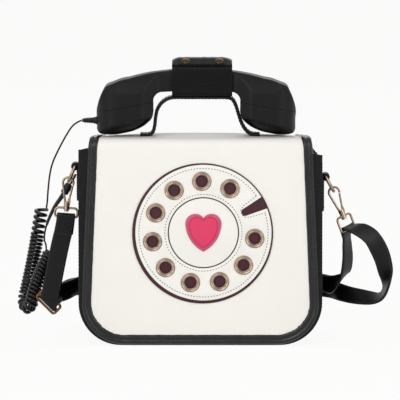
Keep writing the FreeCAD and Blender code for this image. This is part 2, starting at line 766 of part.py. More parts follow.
class Side:
    """Where the hardware of one side hangs. Sign is -1 on the left and 1 on the right."""

    def __init__(self, name, sign, ring_height, ring_tilt, hook_tilt, loop_turn, loop_drop):
        self.name = name
        self.sign = sign
        self.ring_bar = Vector(sign * (v.bag_width / 2 + roll_radius), 0, ring_height)
        self.ring_turn = Rotation(Vector(0, 1, 0), -sign * ring_tilt)
        self.hook_turn = Rotation(Vector(0, 1, 0), -sign * hook_tilt)
        self.loop_turn = self.hook_turn.multiply(Rotation(Vector(0, 0, 1), loop_turn))
        ring_low = self.ring_bar + self.ring_turn.multVec(Vector(0, 0, -v.ring_drop))
        bar_below_top = v.hook_eye - v.hook_wire - v.ring_wire - v.hook_slack
        self.eye = ring_low - self.hook_turn.multVec(Vector(0, 0, bar_below_top))
        self.loop_bar = boss_middle - loop_drop

    def at_hook(self, x, y, z):
        return self.eye + self.hook_turn.multVec(Vector(x, y, z))

    def at_loop(self, x, y, z):
        return self.eye + self.loop_turn.multVec(Vector(x, y, z))


hook_foot = -v.hook_length
gate_pivot = Vector(1.8 * v.hook_wire, 0, hook_foot + 1.5 * v.hook_base_height)
boss_top = hook_foot - v.gate_gap
boss_middle = boss_top - v.loop_boss_height / 2

LEFT = Side("left", -1, v.ring_left_height, v.ring_left_tilt, v.hook_left_tilt, 0, v.loop_left_drop)
RIGHT = Side("right", 1, v.ring_right_height, v.ring_right_tilt, v.hook_right_tilt, v.loop_right_turn,
             v.loop_right_drop)


def make_tab(side):
    """A leather strip sewn to the gusset and rolled round the D-ring's bar."""
    height = "ring_%s_height" % side.name
    middle = "%d * (bag_width / 2 + ring_wire + running_clearance + tab_leather)" % side.sign
    outer = "%d * bag_width / 2" % side.sign + (" - tab_leather" if side.sign < 0 else "")
    roll = cylinder("tab_roll_" + side.name, "ring_wire + running_clearance + tab_leather", "tab_width", middle,
                    "tab_width / 2", height, along=Vector(0, -1, 0))
    tail = box("tab_tail_" + side.name, "tab_leather", "tab_width", "tab_tail", outer, "-tab_width / 2",
               height + " - tab_tail")
    hole = cylinder("tab_hole_" + side.name, "ring_wire + running_clearance", "2 * tab_width", middle,
                    "tab_width", height, along=Vector(0, -1, 0))
    node(cut("tab_cut_" + side.name, fuse("tab_fuse_" + side.name, roll, tail), hole), "side_tab_" + side.name)


def make_ring(side):
    half = v.ring_width / 2
    big = half - 0.01 * v.ring_width
    corners = [(Vector(0, -half, 0), v.ring_corner), (Vector(0, half, 0), v.ring_corner),
               (Vector(0, half, -v.ring_drop), big), (Vector(0, -half, -v.ring_drop), big)]
    placed = [(side.ring_bar + side.ring_turn.multVec(place), radius) for place, radius in corners]
    node(solid("ring_" + side.name, rod(rounded_path(placed, closed=True), v.ring_wire)), "d_ring_" + side.name)


def round_bar(radius, start, end):
    return Part.makeCylinder(radius, start.distanceToPoint(end), start, end - start)


def make_hook(side):
    """A wire hook with a base block, gate ears and a swivel post, and its gate."""
    tip_angle = math.radians(-22)
    root = Vector(-1.6 * v.hook_wire, 0, hook_foot + 0.75 * v.hook_base_height)
    lean = math.acos(v.hook_eye / root.Length)
    start_angle = math.atan2(root.z, root.x) - lean + 2 * math.pi

    def on_eye(angle):
        return side.at_hook(v.hook_eye * math.cos(angle), 0, v.hook_eye * math.sin(angle))

    path = [
        Part.LineSegment(side.at_hook(*root), on_eye(start_angle)).toShape(),
        Part.Arc(on_eye(start_angle), on_eye((start_angle + tip_angle) / 2), on_eye(tip_angle)).toShape(),
    ]
    pieces = [rod(path, v.hook_wire)]
    axis_points = [side.at_hook(0, 0, hook_foot), side.at_hook(0, 0, hook_foot + v.hook_base_height)]
    pieces.append(round_bar(v.hook_base_radius, *axis_points))
    ear = 1.3 * v.hook_wire
    for front in (-1, 1):
        inner = front * (v.hook_wire + v.gate_gap / 2)
        outer = front * (v.hook_wire + v.gate_gap / 2 + v.hook_wire)
        pieces.append(round_bar(ear, side.at_hook(gate_pivot.x, inner, gate_pivot.z),
                                side.at_hook(gate_pivot.x, outer, gate_pivot.z)))
        post = Part.makeBox(2 * ear, v.hook_wire, gate_pivot.z - hook_foot - v.hook_base_height / 2,
                            Vector(gate_pivot.x - ear, min(inner, outer), hook_foot + v.hook_base_height / 2))
        post.Placement = FreeCAD.Placement(side.eye, side.hook_turn).multiply(post.Placement)
        pieces.append(post)
    reach = 2 * v.hook_wire + v.gate_gap / 2
    pieces.append(round_bar(v.gate_pin, side.at_hook(gate_pivot.x, -reach, gate_pivot.z),
                            side.at_hook(gate_pivot.x, reach, gate_pivot.z)))
    boss_end = boss_top - v.loop_boss_height
    pieces.append(round_bar(v.hook_post, side.at_hook(0, 0, boss_end - v.gate_gap), axis_points[0]))
    pieces.append(round_bar(v.hook_post + v.gate_pin, side.at_hook(0, 0, boss_end - v.gate_gap - v.hook_wire),
                            side.at_hook(0, 0, boss_end - v.gate_gap)))
    hook = pieces[0].fuse(pieces[1:]).removeSplitter()
    node(solid("hook_" + side.name, hook), "snap_hook_" + side.name)

    tip = Vector(v.hook_eye * math.cos(tip_angle), 0, v.hook_eye * math.sin(tip_angle) - v.gate_gap)
    tip.x -= v.gate_gap / 2
    knuckle = round_bar(ear, side.at_hook(gate_pivot.x, -v.hook_wire, gate_pivot.z),
                        side.at_hook(gate_pivot.x, v.hook_wire, gate_pivot.z))
    lever = round_bar(0.9 * v.hook_wire, side.at_hook(*gate_pivot), side.at_hook(*tip))
    bore = round_bar(v.gate_pin + v.running_clearance, side.at_hook(gate_pivot.x, -reach, gate_pivot.z),
                     side.at_hook(gate_pivot.x, reach, gate_pivot.z))
    node(solid("gate_" + side.name, knuckle.fuse(lever).cut(bore)), "hook_gate_" + side.name)


def make_strap_loop(side):
    """A D-shaped loop for the strap, with a boss that turns on the hook's post."""
    half = v.loop_width / 2
    inside = v.hook_post + v.running_clearance + v.loop_wire / 2
    low = side.loop_bar
    corners = [(-inside, boss_middle, 0), (-half, boss_middle, 3 * v.loop_wire), (-half, low, 2 * v.loop_wire),
               (half, low, 2 * v.loop_wire), (half, boss_middle, 3 * v.loop_wire), (inside, boss_middle, 0)]
    frame = rod(rounded_path([(side.at_loop(x, 0, z), r) for x, z, r in corners]), v.loop_wire)
    boss_ends = [side.at_hook(0, 0, boss_top - v.loop_boss_height), side.at_hook(0, 0, boss_top)]
    boss = round_bar(v.loop_boss, *boss_ends)
    bore = round_bar(v.hook_post + v.running_clearance, *boss_ends)
    node(solid("loop_" + side.name, frame.fuse(boss).cut(bore)), "strap_loop_" + side.name)


# Shoulder strap: one leather band from the left loop, folded at the slider, behind the bag, round a bow at the right,
# through the right loop and back behind the bag to the slider.

def fold(centre, way, crease, width, near_y, far_y):
    """Stations round a flat fold: the band turns over about a slanted crease in the front plane."""
    half = width / 2 / abs(way.cross(crease).y)
    outward = (way - crease * way.dot(crease)).normalize()
    middle_y = (near_y + far_y) / 2
    radius = (far_y - near_y) / 2
    stations = []
    for k in range(5):
        turn = math.pi * k / 4
        place = centre + outward * (abs(radius) * math.sin(turn))
        place.y = middle_y - radius * math.cos(turn)
        stations.append((place, crease * half))
    return stations


def round_loop(side, first, last, steps, y_sign):
    """Stations where the band runs over a loop's bar."""
    reach = v.loop_wire + v.holder_clearance + v.strap_thick / 2
    half = side.loop_turn.multVec(Vector(v.strap_width / 2, 0, 0))
    stations = []
    for k in range(steps + 1):
        turn = math.radians(first + (last - first) * k / steps)
        place = side.at_loop(0, y_sign * reach * math.cos(turn), side.loop_bar + reach * math.sin(turn))
        stations.append((place, half))
    return stations


slider_place = Vector(-v.bag_width / 2 - 31, 0, 39)
slider_way = Vector(-0.267, 0, -0.964)
slider_crease = Vector(1, 0, -1).normalize()
slider_bend = v.slider_wire + v.stud_gap + v.strap_thick / 2


def station(x, y, z, across_x, across_y, across_z):
    across = Vector(across_x, across_y, across_z).normalize()
    return (Vector(x, y, z), across * (v.strap_width / 2))


def strap_stations():
    """Places along the band, each with half its width as a vector, chosen by eye from the left loop onwards."""
    back = v.bag_depth / 2
    left, right = -v.bag_width / 2, v.bag_width / 2
    lap = LEFT.at_loop(0, 0, LEFT.loop_bar)
    stations = [station(lap.x - 2.2, 3.4, lap.z - 17, 9, 0, -1.5), station(lap.x - 0.8, 3.0, lap.z - 7, 9, 0, -0.8)]
    stations += round_loop(LEFT, 0, 180, 4, 1)
    stations += [
        station(lap.x - 1.8, -3.1, lap.z - 11, 9, 0, -1.2),
        station(left - 19.8, -3.5, 94, 9, 0, -2.0),
        station(left - 24.7, -3.5, 70, 9, 0, -2.2),
        station(left - 28.2, -3.2, 52, 9, 0, -2.5),
    ]
    stations += fold(slider_place, slider_way, slider_crease, v.strap_width, -slider_bend, slider_bend)
    stations += [
        station(left - 25, 8.5, 43, 2.4, 0, -8.9),
        station(left - 18, 26, 46.5, 1.2, 0, -9.1),
        station(left - 9, back + 2.5, 49, 0.6, 0, -9.2),
        station(left + 8, back + 9.5, 50, 0, 0, -1),
        station(left / 2, back + 9, 51, 0, 0, -1),
        station(0, back + 9, 51, 0, 0, -1),
        station(right / 2, back + 9, 50, 0, 0, -1),
        station(right - 8, back + 9.5, 48.5, 0, 0, -1),
        station(right + 9, back + 2.5, 47.5, 0, 0, -1),
        station(right + 19, 28, 46, 0, -2, -9),
        station(right + 31, 15, 44, 0, -4.5, -8),
        station(right + 45, 8, 42.6, 0, -6.3, -6.7),
        station(right + 53, 5.5, 42.4, 0.3, -7.6, -5.1),
        station(right + 59, 4.2, 43.6, 1, -8.7, -2.8),
        station(right + 62.8, 3.4, 47.5, 1.6, -9, -0.9),
        station(right + 65, 2.6, 54, 2.6, -8.8, 0.6),
        station(right + 65.4, 1.6, 61, 4.6, -7.8, 1.8),
        station(right + 64.6, 0.8, 69.5, 6.9, -5.2, 3.2),
        station(right + 61.1, 0, 83.5, 7.3, -2.2, 5),
        station(right + 55.6, -1, 95.6, 7, 1.5, 5.8),
        station(right + 49.2, -2, 105, 5.7, 4, 6),
        station(right + 40.6, -3, 111, 4.6, 5.6, 5.7),
        station(right + 33.5, -3.4, 113.5, 5.2, 6.6, 3.6),
    ]
    stations += round_loop(RIGHT, 30, 170, 4, -1)
    hang = RIGHT.at_loop(0, 0, RIGHT.loop_bar)
    stations += [
        station(hang.x - 1.4, 2.6, hang.z - 9, 3.8, 8.3, 1),
        station(hang.x - 1, 2.6, hang.z - 16, 4.4, 8, 0),
        station(hang.x - 0.4, 3.2, hang.z - 30, 5, 7.6, 0),
        station(hang.x - 2.2, 6, hang.z - 44, 5, 7.4, 1.5),
        station(hang.x - 7, 12.5, hang.z - 52, 3.8, 5.6, 6.2),
        station(right + 11, 23, 54, 1, 1.5, 9),
        station(right + 3, back + 1.5, 53.5, 0, 0, 1),
        station(right - 10, back + 4.5, 53, 0, 0, 1),
        station(right / 2, back + 5, 53, 0, 0, 1),
        station(0, back + 5, 54, 0, 0, 1),
        station(left / 2, back + 5, 53, 0, 0, 1),
        station(left + 10, back + 4.5, 52, 0, 0, 1),
        station(left - 3, back + 1.5, 50.5, 0, 0, 1),
        station(left - 11.5, 23, 48.5, -0.8, 0, 9.1),
        station(left - 18, 13.5, 47, -1.6, 0, 9),
    ]
    return stations


def band(stations, thick):
    """A ruled band through its stations, square in section."""
    wires = []
    for i, (place, across) in enumerate(stations):
        before = stations[max(i - 1, 0)][0]
        after = stations[min(i + 1, len(stations) - 1)][0]
        face = (after - before).cross(across).normalize() * (thick / 2)
        corners = [place + across + face, place - across + face, place - across - face, place + across - face]
        wires.append(Part.makePolygon(corners + corners[:1]))
    return Part.makeLoft(wires, True, True)


def make_strap():
    stations = strap_stations()
    node(solid("strap", band(stations, v.strap_thick)), "shoulder_strap")

    outward = (slider_way - slider_crease * slider_way.dot(slider_crease)).normalize()
    half = v.strap_width / 2 / abs(slider_way.cross(slider_crease).y) + v.slider_margin + v.slider_wire
    along, out = slider_crease * half, outward * (v.slider_width / 2)
    corners = [slider_place + along + out, slider_place - along + out,
               slider_place - along - out, slider_place + along - out]
    frame = rod(rounded_path([(c, 2 * v.slider_wire) for c in corners], closed=True), v.slider_wire)
    bar = round_bar(v.slider_wire, slider_place - along, slider_place + along)
    node(solid("slider", frame.fuse(bar)), "strap_slider")


# Handset cord: a thin lead from the boot, a curly stretch that hangs in a loop, and a tail with a plug.

def smooth_tube(points, radius, label):
    """A tube along straight runs joined by arcs as large as the runs allow. Prints its radii and its length."""
    routed = [(points[0], 0)]
    radii = []
    for last, place, following in zip(points, points[1:], points[2:]):
        shorter = min(place.distanceToPoint(last), place.distanceToPoint(following))
        turn = (place - last).getAngle(following - place)
        bend = 0.45 * shorter / math.tan(turn / 2)
        radii.append(bend)
        routed.append((place, bend))
    routed.append((points[-1], 0))
    path = rounded_path(routed)
    tube = rod(path, radius)
    length = sum(edge.Length for edge in path)
    print("%s: length %.1f, tightest radius %.1f, volume share %.4f"
          % (label, length, min(radii), tube.Volume / (math.pi * radius ** 2 * length)))
    return tube


def curl_axis():
    """The middle line of the curls: down, round a bend in depth and up again in front."""
    bend_centre = Vector(-173.2, 19.6, 49)
    bend_radius = 10.4
    points = [Vector(-159.9, 30, 129.7), Vector(-164.7, 30.2, 98.5), Vector(-168.7, 30, 73.4)]
    for k in range(5):
        turn = math.pi * k / 4
        points.append(bend_centre + Vector(-1.2 * math.sin(turn), math.cos(turn) * bend_radius,
                                           -math.sin(turn) * bend_radius))
    points += [Vector(-164.2, 8.8, 66), Vector(-156.6, 9, 80), Vector(-152.4, 9, 88.3)]
    spline = Part.BSplineCurve()
    spline.interpolate(points)
    return spline


def curl_line():
    """Places and directions at every quarter turn of the curls, with wider steps where the axis bends."""
    spline = curl_axis()
    steps = 3000
    low, high = spline.FirstParameter, spline.LastParameter
    radius = (v.curl_outer - v.curl_wire) / 2
    loose_length = v.curl_loose_turns * v.curl_loose_pitch
    least_step = v.curl_wire + v.curl_gap
    fine = []
    place = spline.value(low)
    way = Vector(*spline.tangent(low)[0])
    normal = Vector(1, 0, 0)
    normal = (normal - way * normal.dot(way)).normalize()
    phase = run = 0.0
    for k in range(steps + 1):
        at = low + (high - low) * k / steps
        here = spline.value(at)
        way = Vector(*spline.tangent(at)[0])
        normal = (normal - way * normal.dot(way)).normalize()
        stride = here.distanceToPoint(place)
        run += stride
        pitch = v.curl_loose_pitch if run < loose_length else v.curl_pitch
        pitch = max(pitch, least_step / (1 - spline.curvature(at) * radius))
        phase += 2 * math.pi * stride / pitch
        place = here
        fine.append((phase, here, way, normal))

    def point_at(angle):
        i = next(n for n, row in enumerate(fine) if row[0] >= angle)
        j = max(i - 1, 0)
        share = (angle - fine[j][0]) / (fine[i][0] - fine[j][0]) if i != j else 0.0
        here = fine[j][1] + (fine[i][1] - fine[j][1]) * share
        normal, way = fine[i][3], fine[i][2]
        return here + (normal * math.cos(angle) - way.cross(normal) * math.sin(angle)) * radius

    half_turns = int(fine[-1][0] / math.pi)
    quarters = 2 * (half_turns - 1 + half_turns % 2)
    rows = []
    nudge = 1e-3
    for k in range(quarters + 1):
        angle = k * math.pi / 2
        way = point_at(angle + nudge) - point_at(max(angle - nudge, 0))
        rows.append((point_at(angle), way.normalize()))
    return rows


def biarc(start, start_way, end, end_way):
    """Two arcs that join two places with given directions."""
    gap = end - start
    ways = start_way + end_way
    spread = 2 * (1 - start_way.dot(end_way))
    reach = (-gap.dot(ways) + math.sqrt(gap.dot(ways) ** 2 + spread * gap.dot(gap))) / spread
    first, second = start + start_way * reach, end - end_way * reach
    joint = (first + second) * 0.5
    arcs = []
    for a, corner, b in ((start, first, joint), (joint, second, end)):
        turn = (corner - a).getAngle(b - corner)
        middle = corner + ((a + b) * 0.5 - corner).normalize() * (reach * math.tan(turn / 4))
        arcs.append(Part.Arc(a, middle, b).toShape())
    return arcs


def least_gap(edges, wire):
    """The least clear space between one turn and the others, measured on points along the wire."""
    points, along = [], 0.0
    for edge in edges:
        for k in range(6):
            at = edge.FirstParameter + (edge.LastParameter - edge.FirstParameter) * k / 6
            points.append((along + edge.Length * k / 6, edge.valueAt(at)))
        along += edge.Length
    skip = 2.5 * wire
    near = 120
    return min(p.distanceToPoint(q) for i, (a, p) in enumerate(points) for b, q in points[i + 1:i + near]
               if b - a > skip) - wire


def make_cord():
    rows = curl_line()
    start, start_way = rows[0]
    end, end_way = rows[-1]
    curl_start = start - start_way * v.curl_wire
    curl_end = end + end_way * v.curl_wire
    path = [Part.LineSegment(curl_start, start).toShape()]
    for (a, way_a), (b, way_b) in zip(rows, rows[1:]):
        path += biarc(a, way_a, b, way_b)
    path.append(Part.LineSegment(end, curl_end).toShape())
    print("curly_cord: %d turns, wire length %.0f, least gap %.2f"
          % (len(rows) // 4, sum(e.Length for e in path), least_gap(path, v.curl_wire)))
    node(solid("curls", rod(path, v.curl_wire / 2)), "curly_cord")

    boot_tip = Vector(v.handset_shift - v.handset_length / 2 - v.boot_length, 0, handset_base + v.boot_height)
    lead_start = boot_tip - Vector(v.cord_gap, 0, 0)
    lead_points = [
        lead_start, Vector(-126, 0.6, 218.6), Vector(-134, 3, 206.5), Vector(-142.5, 7, 190.5), Vector(-148.6, 10.5, 177),
        Vector(-151.2, 13.2, 165), Vector(-152.4, 15.2, 154), Vector(-153.2, 16.4, 145)]
    lead_points += [curl_start - start_way * back + Vector(out, 0, up)
                    for back, up, out in ((9.3, 6.2, 1.2), (7.5, 2.3, 0.5), (4, 0.2, 0), (0, 0, 0))]
    node(solid("lead", smooth_tube(lead_points, v.lead_diameter / 2, "cord_lead")), "cord_lead")

    boot_start = Vector(-152.5, 12, 113)
    plug_start = Vector(-136.2, 16.2, 147)
    plug_way = (plug_start - boot_start).normalize()
    tail_points = [curl_end + end_way * ahead + Vector(0, 0, up)
                   for ahead, up in ((0, 0), (3.5, 0.2), (6.6, 2), (8.3, 5.1), (8.2, 9))]
    tail_points += [boot_start - plug_way * 6 + Vector(-2, 3.5, 0), boot_start - plug_way * 3 + Vector(-0.4, 0.7, 0),
                    boot_start - plug_way * v.cord_gap]
    node(solid("tail", smooth_tube(tail_points, v.lead_diameter / 2, "cord_tail")), "cord_tail")
    boot_length = boot_start.distanceToPoint(plug_start)
    node(solid("plug_sleeve", Part.makeCone(v.lead_diameter / 2, v.plug_boot_radius, boot_length, boot_start, plug_way)),
         "plug_boot")
    node(solid("plug_barrel", Part.makeCylinder(v.plug_radius, v.plug_length, plug_start, plug_way)), "plug_body")
    node(solid("plug_pin", Part.makeCylinder(v.jack_radius, v.jack_length, plug_start + plug_way * v.plug_length,
                                             plug_way)), "plug_jack")


def write_parts():
    doc.recompute()
    for obj in doc.Objects:
        if "Invalid" in obj.State or "Error" in obj.State:
            raise RuntimeError("%s did not build: %s" % (obj.Label, obj.State))
    for obj in PARTS:
        if obj.Shape.isNull() or not obj.Shape.isValid():
            raise RuntimeError("%s has no valid shape" % obj.Label)
    os.makedirs("parts", exist_ok=True)
    for obj in PARTS:
        obj.Shape.exportStep("parts/%s.step" % obj.Label)
        print("%-22s %d solid(s) %10.1f mm3" % (obj.Label, len(obj.Shape.Solids), obj.Shape.Volume))


make_bag_body()
make_flap()
make_dial()
make_handle()
make_handset()
make_holder()
for side in (LEFT, RIGHT):
    make_tab(side)
    make_ring(side)
    make_hook(side)
    make_strap_loop(side)
make_strap()
make_cord()
write_parts()
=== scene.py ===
"""Telephone-shaped crossbody bag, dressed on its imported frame: leather, stitching, dial, handset, cord and metal."""

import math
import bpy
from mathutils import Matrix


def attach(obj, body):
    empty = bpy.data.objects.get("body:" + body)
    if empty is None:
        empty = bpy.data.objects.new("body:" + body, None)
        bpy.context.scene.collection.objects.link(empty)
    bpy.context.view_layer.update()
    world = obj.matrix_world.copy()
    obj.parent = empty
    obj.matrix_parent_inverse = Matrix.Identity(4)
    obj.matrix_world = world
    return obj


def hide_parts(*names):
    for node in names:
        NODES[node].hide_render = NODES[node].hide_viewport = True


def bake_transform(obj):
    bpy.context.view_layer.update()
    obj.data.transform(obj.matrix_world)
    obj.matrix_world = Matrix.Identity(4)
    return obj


bl_info = {
    "name": "Telephone Crossbody Bag",
    "version": (1, 0, 0),
    "blender": (4, 5, 0),
    "location": "View3D > Sidebar > Phone Bag",
    "description": "Dresses the packed telephone-shaped bag with leather, stitches, cords and metal",
    "category": "Object",
}

import bpy
from bpy.props import FloatProperty, FloatVectorProperty, IntProperty, PointerProperty
from mathutils import Vector, noise

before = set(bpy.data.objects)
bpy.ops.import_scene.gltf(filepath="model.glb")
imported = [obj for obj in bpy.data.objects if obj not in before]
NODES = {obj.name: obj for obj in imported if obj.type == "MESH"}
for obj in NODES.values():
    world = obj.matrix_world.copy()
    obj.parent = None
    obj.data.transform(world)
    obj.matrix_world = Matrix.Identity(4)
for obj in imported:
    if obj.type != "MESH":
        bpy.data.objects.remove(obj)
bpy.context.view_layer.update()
MM = 0.001
FRONT, BACK, UP = Vector((0, -1, 0)), Vector((0, 1, 0)), Vector((0, 0, 1))


def linear(red, green, blue):
    """A colour as it shows on screen, from 0 to 255, in the linear numbers that shaders take."""
    shares = [c / 255 for c in (red, green, blue)]
    return tuple(s / 12.92 if s <= 0.04045 else ((s + 0.055) / 1.055) ** 2.4 for s in shares)


def colour(name, description, red, green, blue):
    return FloatVectorProperty(name=name, description=description, subtype="COLOR", size=3, min=0, max=1,
                               default=linear(red, green, blue))


def size(name, description, millimetres):
    return FloatProperty(name=name, description=description, unit="LENGTH", default=millimetres * MM)


class BagColours(bpy.types.PropertyGroup):
    black: colour("Black leather", "Bag body, binding and straps", 19, 19, 20)
    white: colour("White leather", "Flap panel and dial ring", 248, 246, 239)
    burgundy: colour("Burgundy leather", "Disc under the dial", 66, 30, 38)
    rose: colour("Rose leather", "Rim of the heart", 203, 96, 128)
    pink: colour("Pink leather", "Top of the heart", 226, 64, 104)
    lining: colour("Lining cloth", "Inside of the bag and the flap", 34, 33, 34)
    gold: colour("Gold metal", "Hooks, rings, loops, studs and plug pin", 160, 140, 120)
    pale_gold: colour("Eyelet metal", "Dial eyelets", 160, 144, 126)
    # This bronze is the snap caps' metal. On the thin ring over each eyelet's outer edge it is painted shade, a dark
    # line standing in for the shadow where the eyelet meets the leather.
    bronze_and_eyelet_shade: colour("Bronze metal", "Snap caps and outer edges of the eyelets", 74, 60, 40)
    plastic: colour("Handset plastic", "Handset shell and caps", 22, 22, 22)


class BagSizes(bpy.types.PropertyGroup):
    stitch_pitch: size("Stitch pitch", "Step from one stitch to the next on straps and seams", 3.4)
    dial_pitch: size("Dial stitch pitch", "Step from one stitch to the next on the dial", 2.9)
    thread: size("Thread width", "Width of a stitch on the black leather", 0.7)
    binding_swell: size("Binding swell", "How far the flap's binding stands proud", 1.9)
    gather_depth: size("Gather depth", "Depth of the soft gathers on the handset holder", 0.35)
    curl_turns: FloatProperty(name="Curl turns", description="Turns of the curly cord", default=40.5)
    curl_sides: IntProperty(name="Points in a turn", description="Points of the cord's line in one turn", default=16)


class BagStage(bpy.types.PropertyGroup):
    distance: FloatProperty(name="Camera distance", description="From the camera to the bag", unit="LENGTH",
                            default=5.0)
    elevation: FloatProperty(name="Camera elevation", description="Height angle of the view", subtype="ANGLE",
                             default=math.radians(5))
    lens: FloatProperty(name="Lens", description="Focal length in millimetres", default=450)
    key: FloatProperty(name="Key light", description="Power of the large front light", subtype="POWER", default=36)
    fill: FloatProperty(name="Fill light", description="Power of the side light", subtype="POWER", default=15)
    strip: FloatProperty(name="Strip lights", description="Power of the tall lights at both sides", subtype="POWER",
                         default=10)
    sky: FloatProperty(name="Sky light", description="Strength of the even light from all sides", default=0.42)


# Hand tools: rows of points become skins, bands, turned pieces and stitches. Points are in millimetres.

def ramp(value, run):
    """0 for a value below 0, then an even rise to 1 over a run."""
    return min(max(value, 0) / run, 1)


def direction(turn):
    """A direction in the upright plane of the front, at an angle from +X."""
    return Vector((math.cos(turn), 0, math.sin(turn)))


def mirrored(v):
    """A place or a direction on the other side of the bag's middle plane."""
    return Vector((-v.x, v.y, v.z))


def start_clean():
    if bpy.context.mode != "OBJECT":
        bpy.ops.object.mode_set(mode="OBJECT")
    bpy.ops.object.select_all(action="DESELECT")


def pick(obj):
    start_clean()
    obj.select_set(True)
    bpy.context.view_layer.objects.active = obj


def tidy(obj, merge=1e-6, turn_out=True):
    """Merge doubled vertices and point all faces outwards."""
    pick(obj)
    bpy.ops.object.mode_set(mode="EDIT")
    bpy.ops.mesh.select_all(action="SELECT")
    bpy.ops.mesh.remove_doubles(threshold=merge)
    if turn_out:
        bpy.ops.mesh.normals_make_consistent(inside=False)
    bpy.ops.object.mode_set(mode="OBJECT")
    return obj


def smooth(obj, degrees=40):
    pick(obj)
    bpy.ops.object.shade_smooth_by_angle(angle=math.radians(degrees))
    return obj


def modify(obj, kind, **settings):
    """Add a modifier and apply it."""
    pick(obj)
    modifier = obj.modifiers.new(kind.title(), kind)
    for key, value in settings.items():
        setattr(modifier, key, value)
    bpy.ops.object.modifier_apply(modifier=modifier.name)
    return obj


def loft(name, rows, closed=True, degrees=40):
    """A skin over rows of points: a grid whose vertices go to the rows' places."""
    rows = [list(row) + list(row[:1]) for row in rows] if closed else [list(row) for row in rows]
    columns, count = len(rows[0]) - 1, len(rows) - 1
    start_clean()
    bpy.ops.mesh.primitive_grid_add(x_subdivisions=columns, y_subdivisions=count, size=1)
    obj = bpy.context.object
    obj.name = obj.data.name = name
    for vertex in obj.data.vertices:
        i = round((vertex.co.x + 0.5) * columns)
        j = round((vertex.co.y + 0.5) * count)
        vertex.co = Vector(rows[j][i]) * MM
    tidy(obj)
    return smooth(obj, degrees)


def capped(rows):
    """Rows over both faces of a sheet, with its two end rows closed."""
    ends = [[(a + b) / 2 for a, b in zip(row, row[::-1])] for row in (rows[0], rows[-1])]
    return [ends[0]] + rows + [ends[1]]


def pinched(rows, middles):
    """Rows round a tube, with both ends drawn in to their middles."""
    ends = [[middle.lerp(p, 0.02) for p in row] for middle, row in zip(middles, (rows[0], rows[-1]))]
    return [ends[0]] + rows + [ends[1]]


def heading(places, k):
    """The way along a row of places at one of them."""
    return places[min(k + 1, len(places) - 1)] - places[max(k - 1, 0)]


def joined(name, objects):
    """Several pieces as one."""
    start_clean()
    for obj in objects:
        obj.select_set(True)
    bpy.context.view_layer.objects.active = objects[0]
    bpy.ops.object.join()
    objects[0].name = name
    return objects[0]


ROUND_EDGE = [(-1, 0), (-0.985, 0.55), (-0.94, 0.9), (-0.86, 1), (-0.45, 1.02), (0, 1.04), (0.45, 1.02), (0.86, 1),
              (0.94, 0.9), (0.985, 0.55), (1, 0), (0.985, -0.55), (0.94, -0.9), (0.86, -1), (0.45, -1), (0, -1),
              (-0.45, -1), (-0.86, -1), (-0.94, -0.9), (-0.985, -0.55)]


def band(name, stations, swell=None, section=ROUND_EDGE):
    """A leather band through stations of place, half width and half thickness vectors, closed at both ends."""
    rows = []
    for k, (place, across, face) in enumerate(stations):
        row = []
        for a, b in section:
            lift = swell(k / (len(stations) - 1), a, b) if swell else 0
            row.append(place + across * a + face * b + face.normalized() * lift)
        rows.append(row)
    ends = [[place + across * a for a, b in section] for place, across, face in (stations[0], stations[-1])]
    return loft(name, [ends[0]] + rows + [ends[1]])


def catmull(points, steps):
    """A smooth row of places through points, with the given steps between two of them."""
    points = [Vector(p) for p in points]
    row = []
    for i in range(len(points) - 1):
        p1, p2 = points[i], points[i + 1]
        p0 = points[i - 1] if i else p1 * 2 - p2
        p3 = points[i + 2] if i + 2 < len(points) else p2 * 2 - p1
        for k in range(steps):
            t = k / steps
            row.append(0.5 * (2 * p1 + (p2 - p0) * t + (2 * p0 - 5 * p1 + 4 * p2 - p3) * t * t
                              + (3 * p1 - p0 - 3 * p2 + p3) * t ** 3))
    return row + [points[-1]]


def rounded(corners, step=2.0):
    """Places along a bent strip's line in one plane: (a, b, radius) corners joined by arcs."""
    flat = [Vector((a, b)) for a, b, radius in corners]
    row = [flat[0]]

    def run_to(end):
        start = row[-1]
        count = max(1, round((end - start).length / step))
        row.extend(start.lerp(end, k / count) for k in range(1, count + 1))

    for last, here, following, (a, b, radius) in zip(flat, flat[1:], flat[2:], corners[1:]):
        back, ahead = (last - here).normalized(), (following - here).normalized()
        half = back.angle(ahead) / 2
        reach = radius / math.tan(half)
        centre = here + (back + ahead).normalized() * (radius / math.sin(half))
        run_to(here + back * reach)
        first, end = here + back * reach - centre, here + ahead * reach - centre
        turn = first.angle_signed(end)
        steps = max(3, round(abs(turn) * radius / step) + 2)
        for k in range(1, steps + 1):
            angle = -turn * k / steps
            row.append(centre + Vector((first.x * math.cos(angle) - first.y * math.sin(angle),
                                        first.x * math.sin(angle) + first.y * math.cos(angle))))
    run_to(flat[-1])
    return row


def strip(places, across, thick):
    """Band stations along places in one plane, with the same half width all along."""
    stations = []
    for k, place in enumerate(places):
        stations.append((place, across, heading(places, k).cross(across).normalized() * (thick / 2)))
    return stations


def turned(name, profile, start, way, sides=32, degrees=40, closed=False):
    """A piece turned on a lathe: (along, radius) points about an axis. A closed profile makes a ring."""
    way = Vector(way).normalized()
    side = way.orthogonal().normalized()
    other = way.cross(side)
    start = Vector(start)
    rows = []
    for k in range(sides + 1):
        angle = 2 * math.pi * (k % sides) / sides
        out = side * math.cos(angle) + other * math.sin(angle)
        rows.append([start + way * along + out * radius for along, radius in profile])
    return loft(name, rows, closed=closed, degrees=degrees)


def copy_node(name, node):
    """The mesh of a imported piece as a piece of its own, with its triangles joined."""
    obj = bpy.data.objects.new(name, NODES[node].data.copy())
    obj.data.name = name
    bpy.context.collection.objects.link(obj)
    return tidy(obj, 2e-6, turn_out=False)


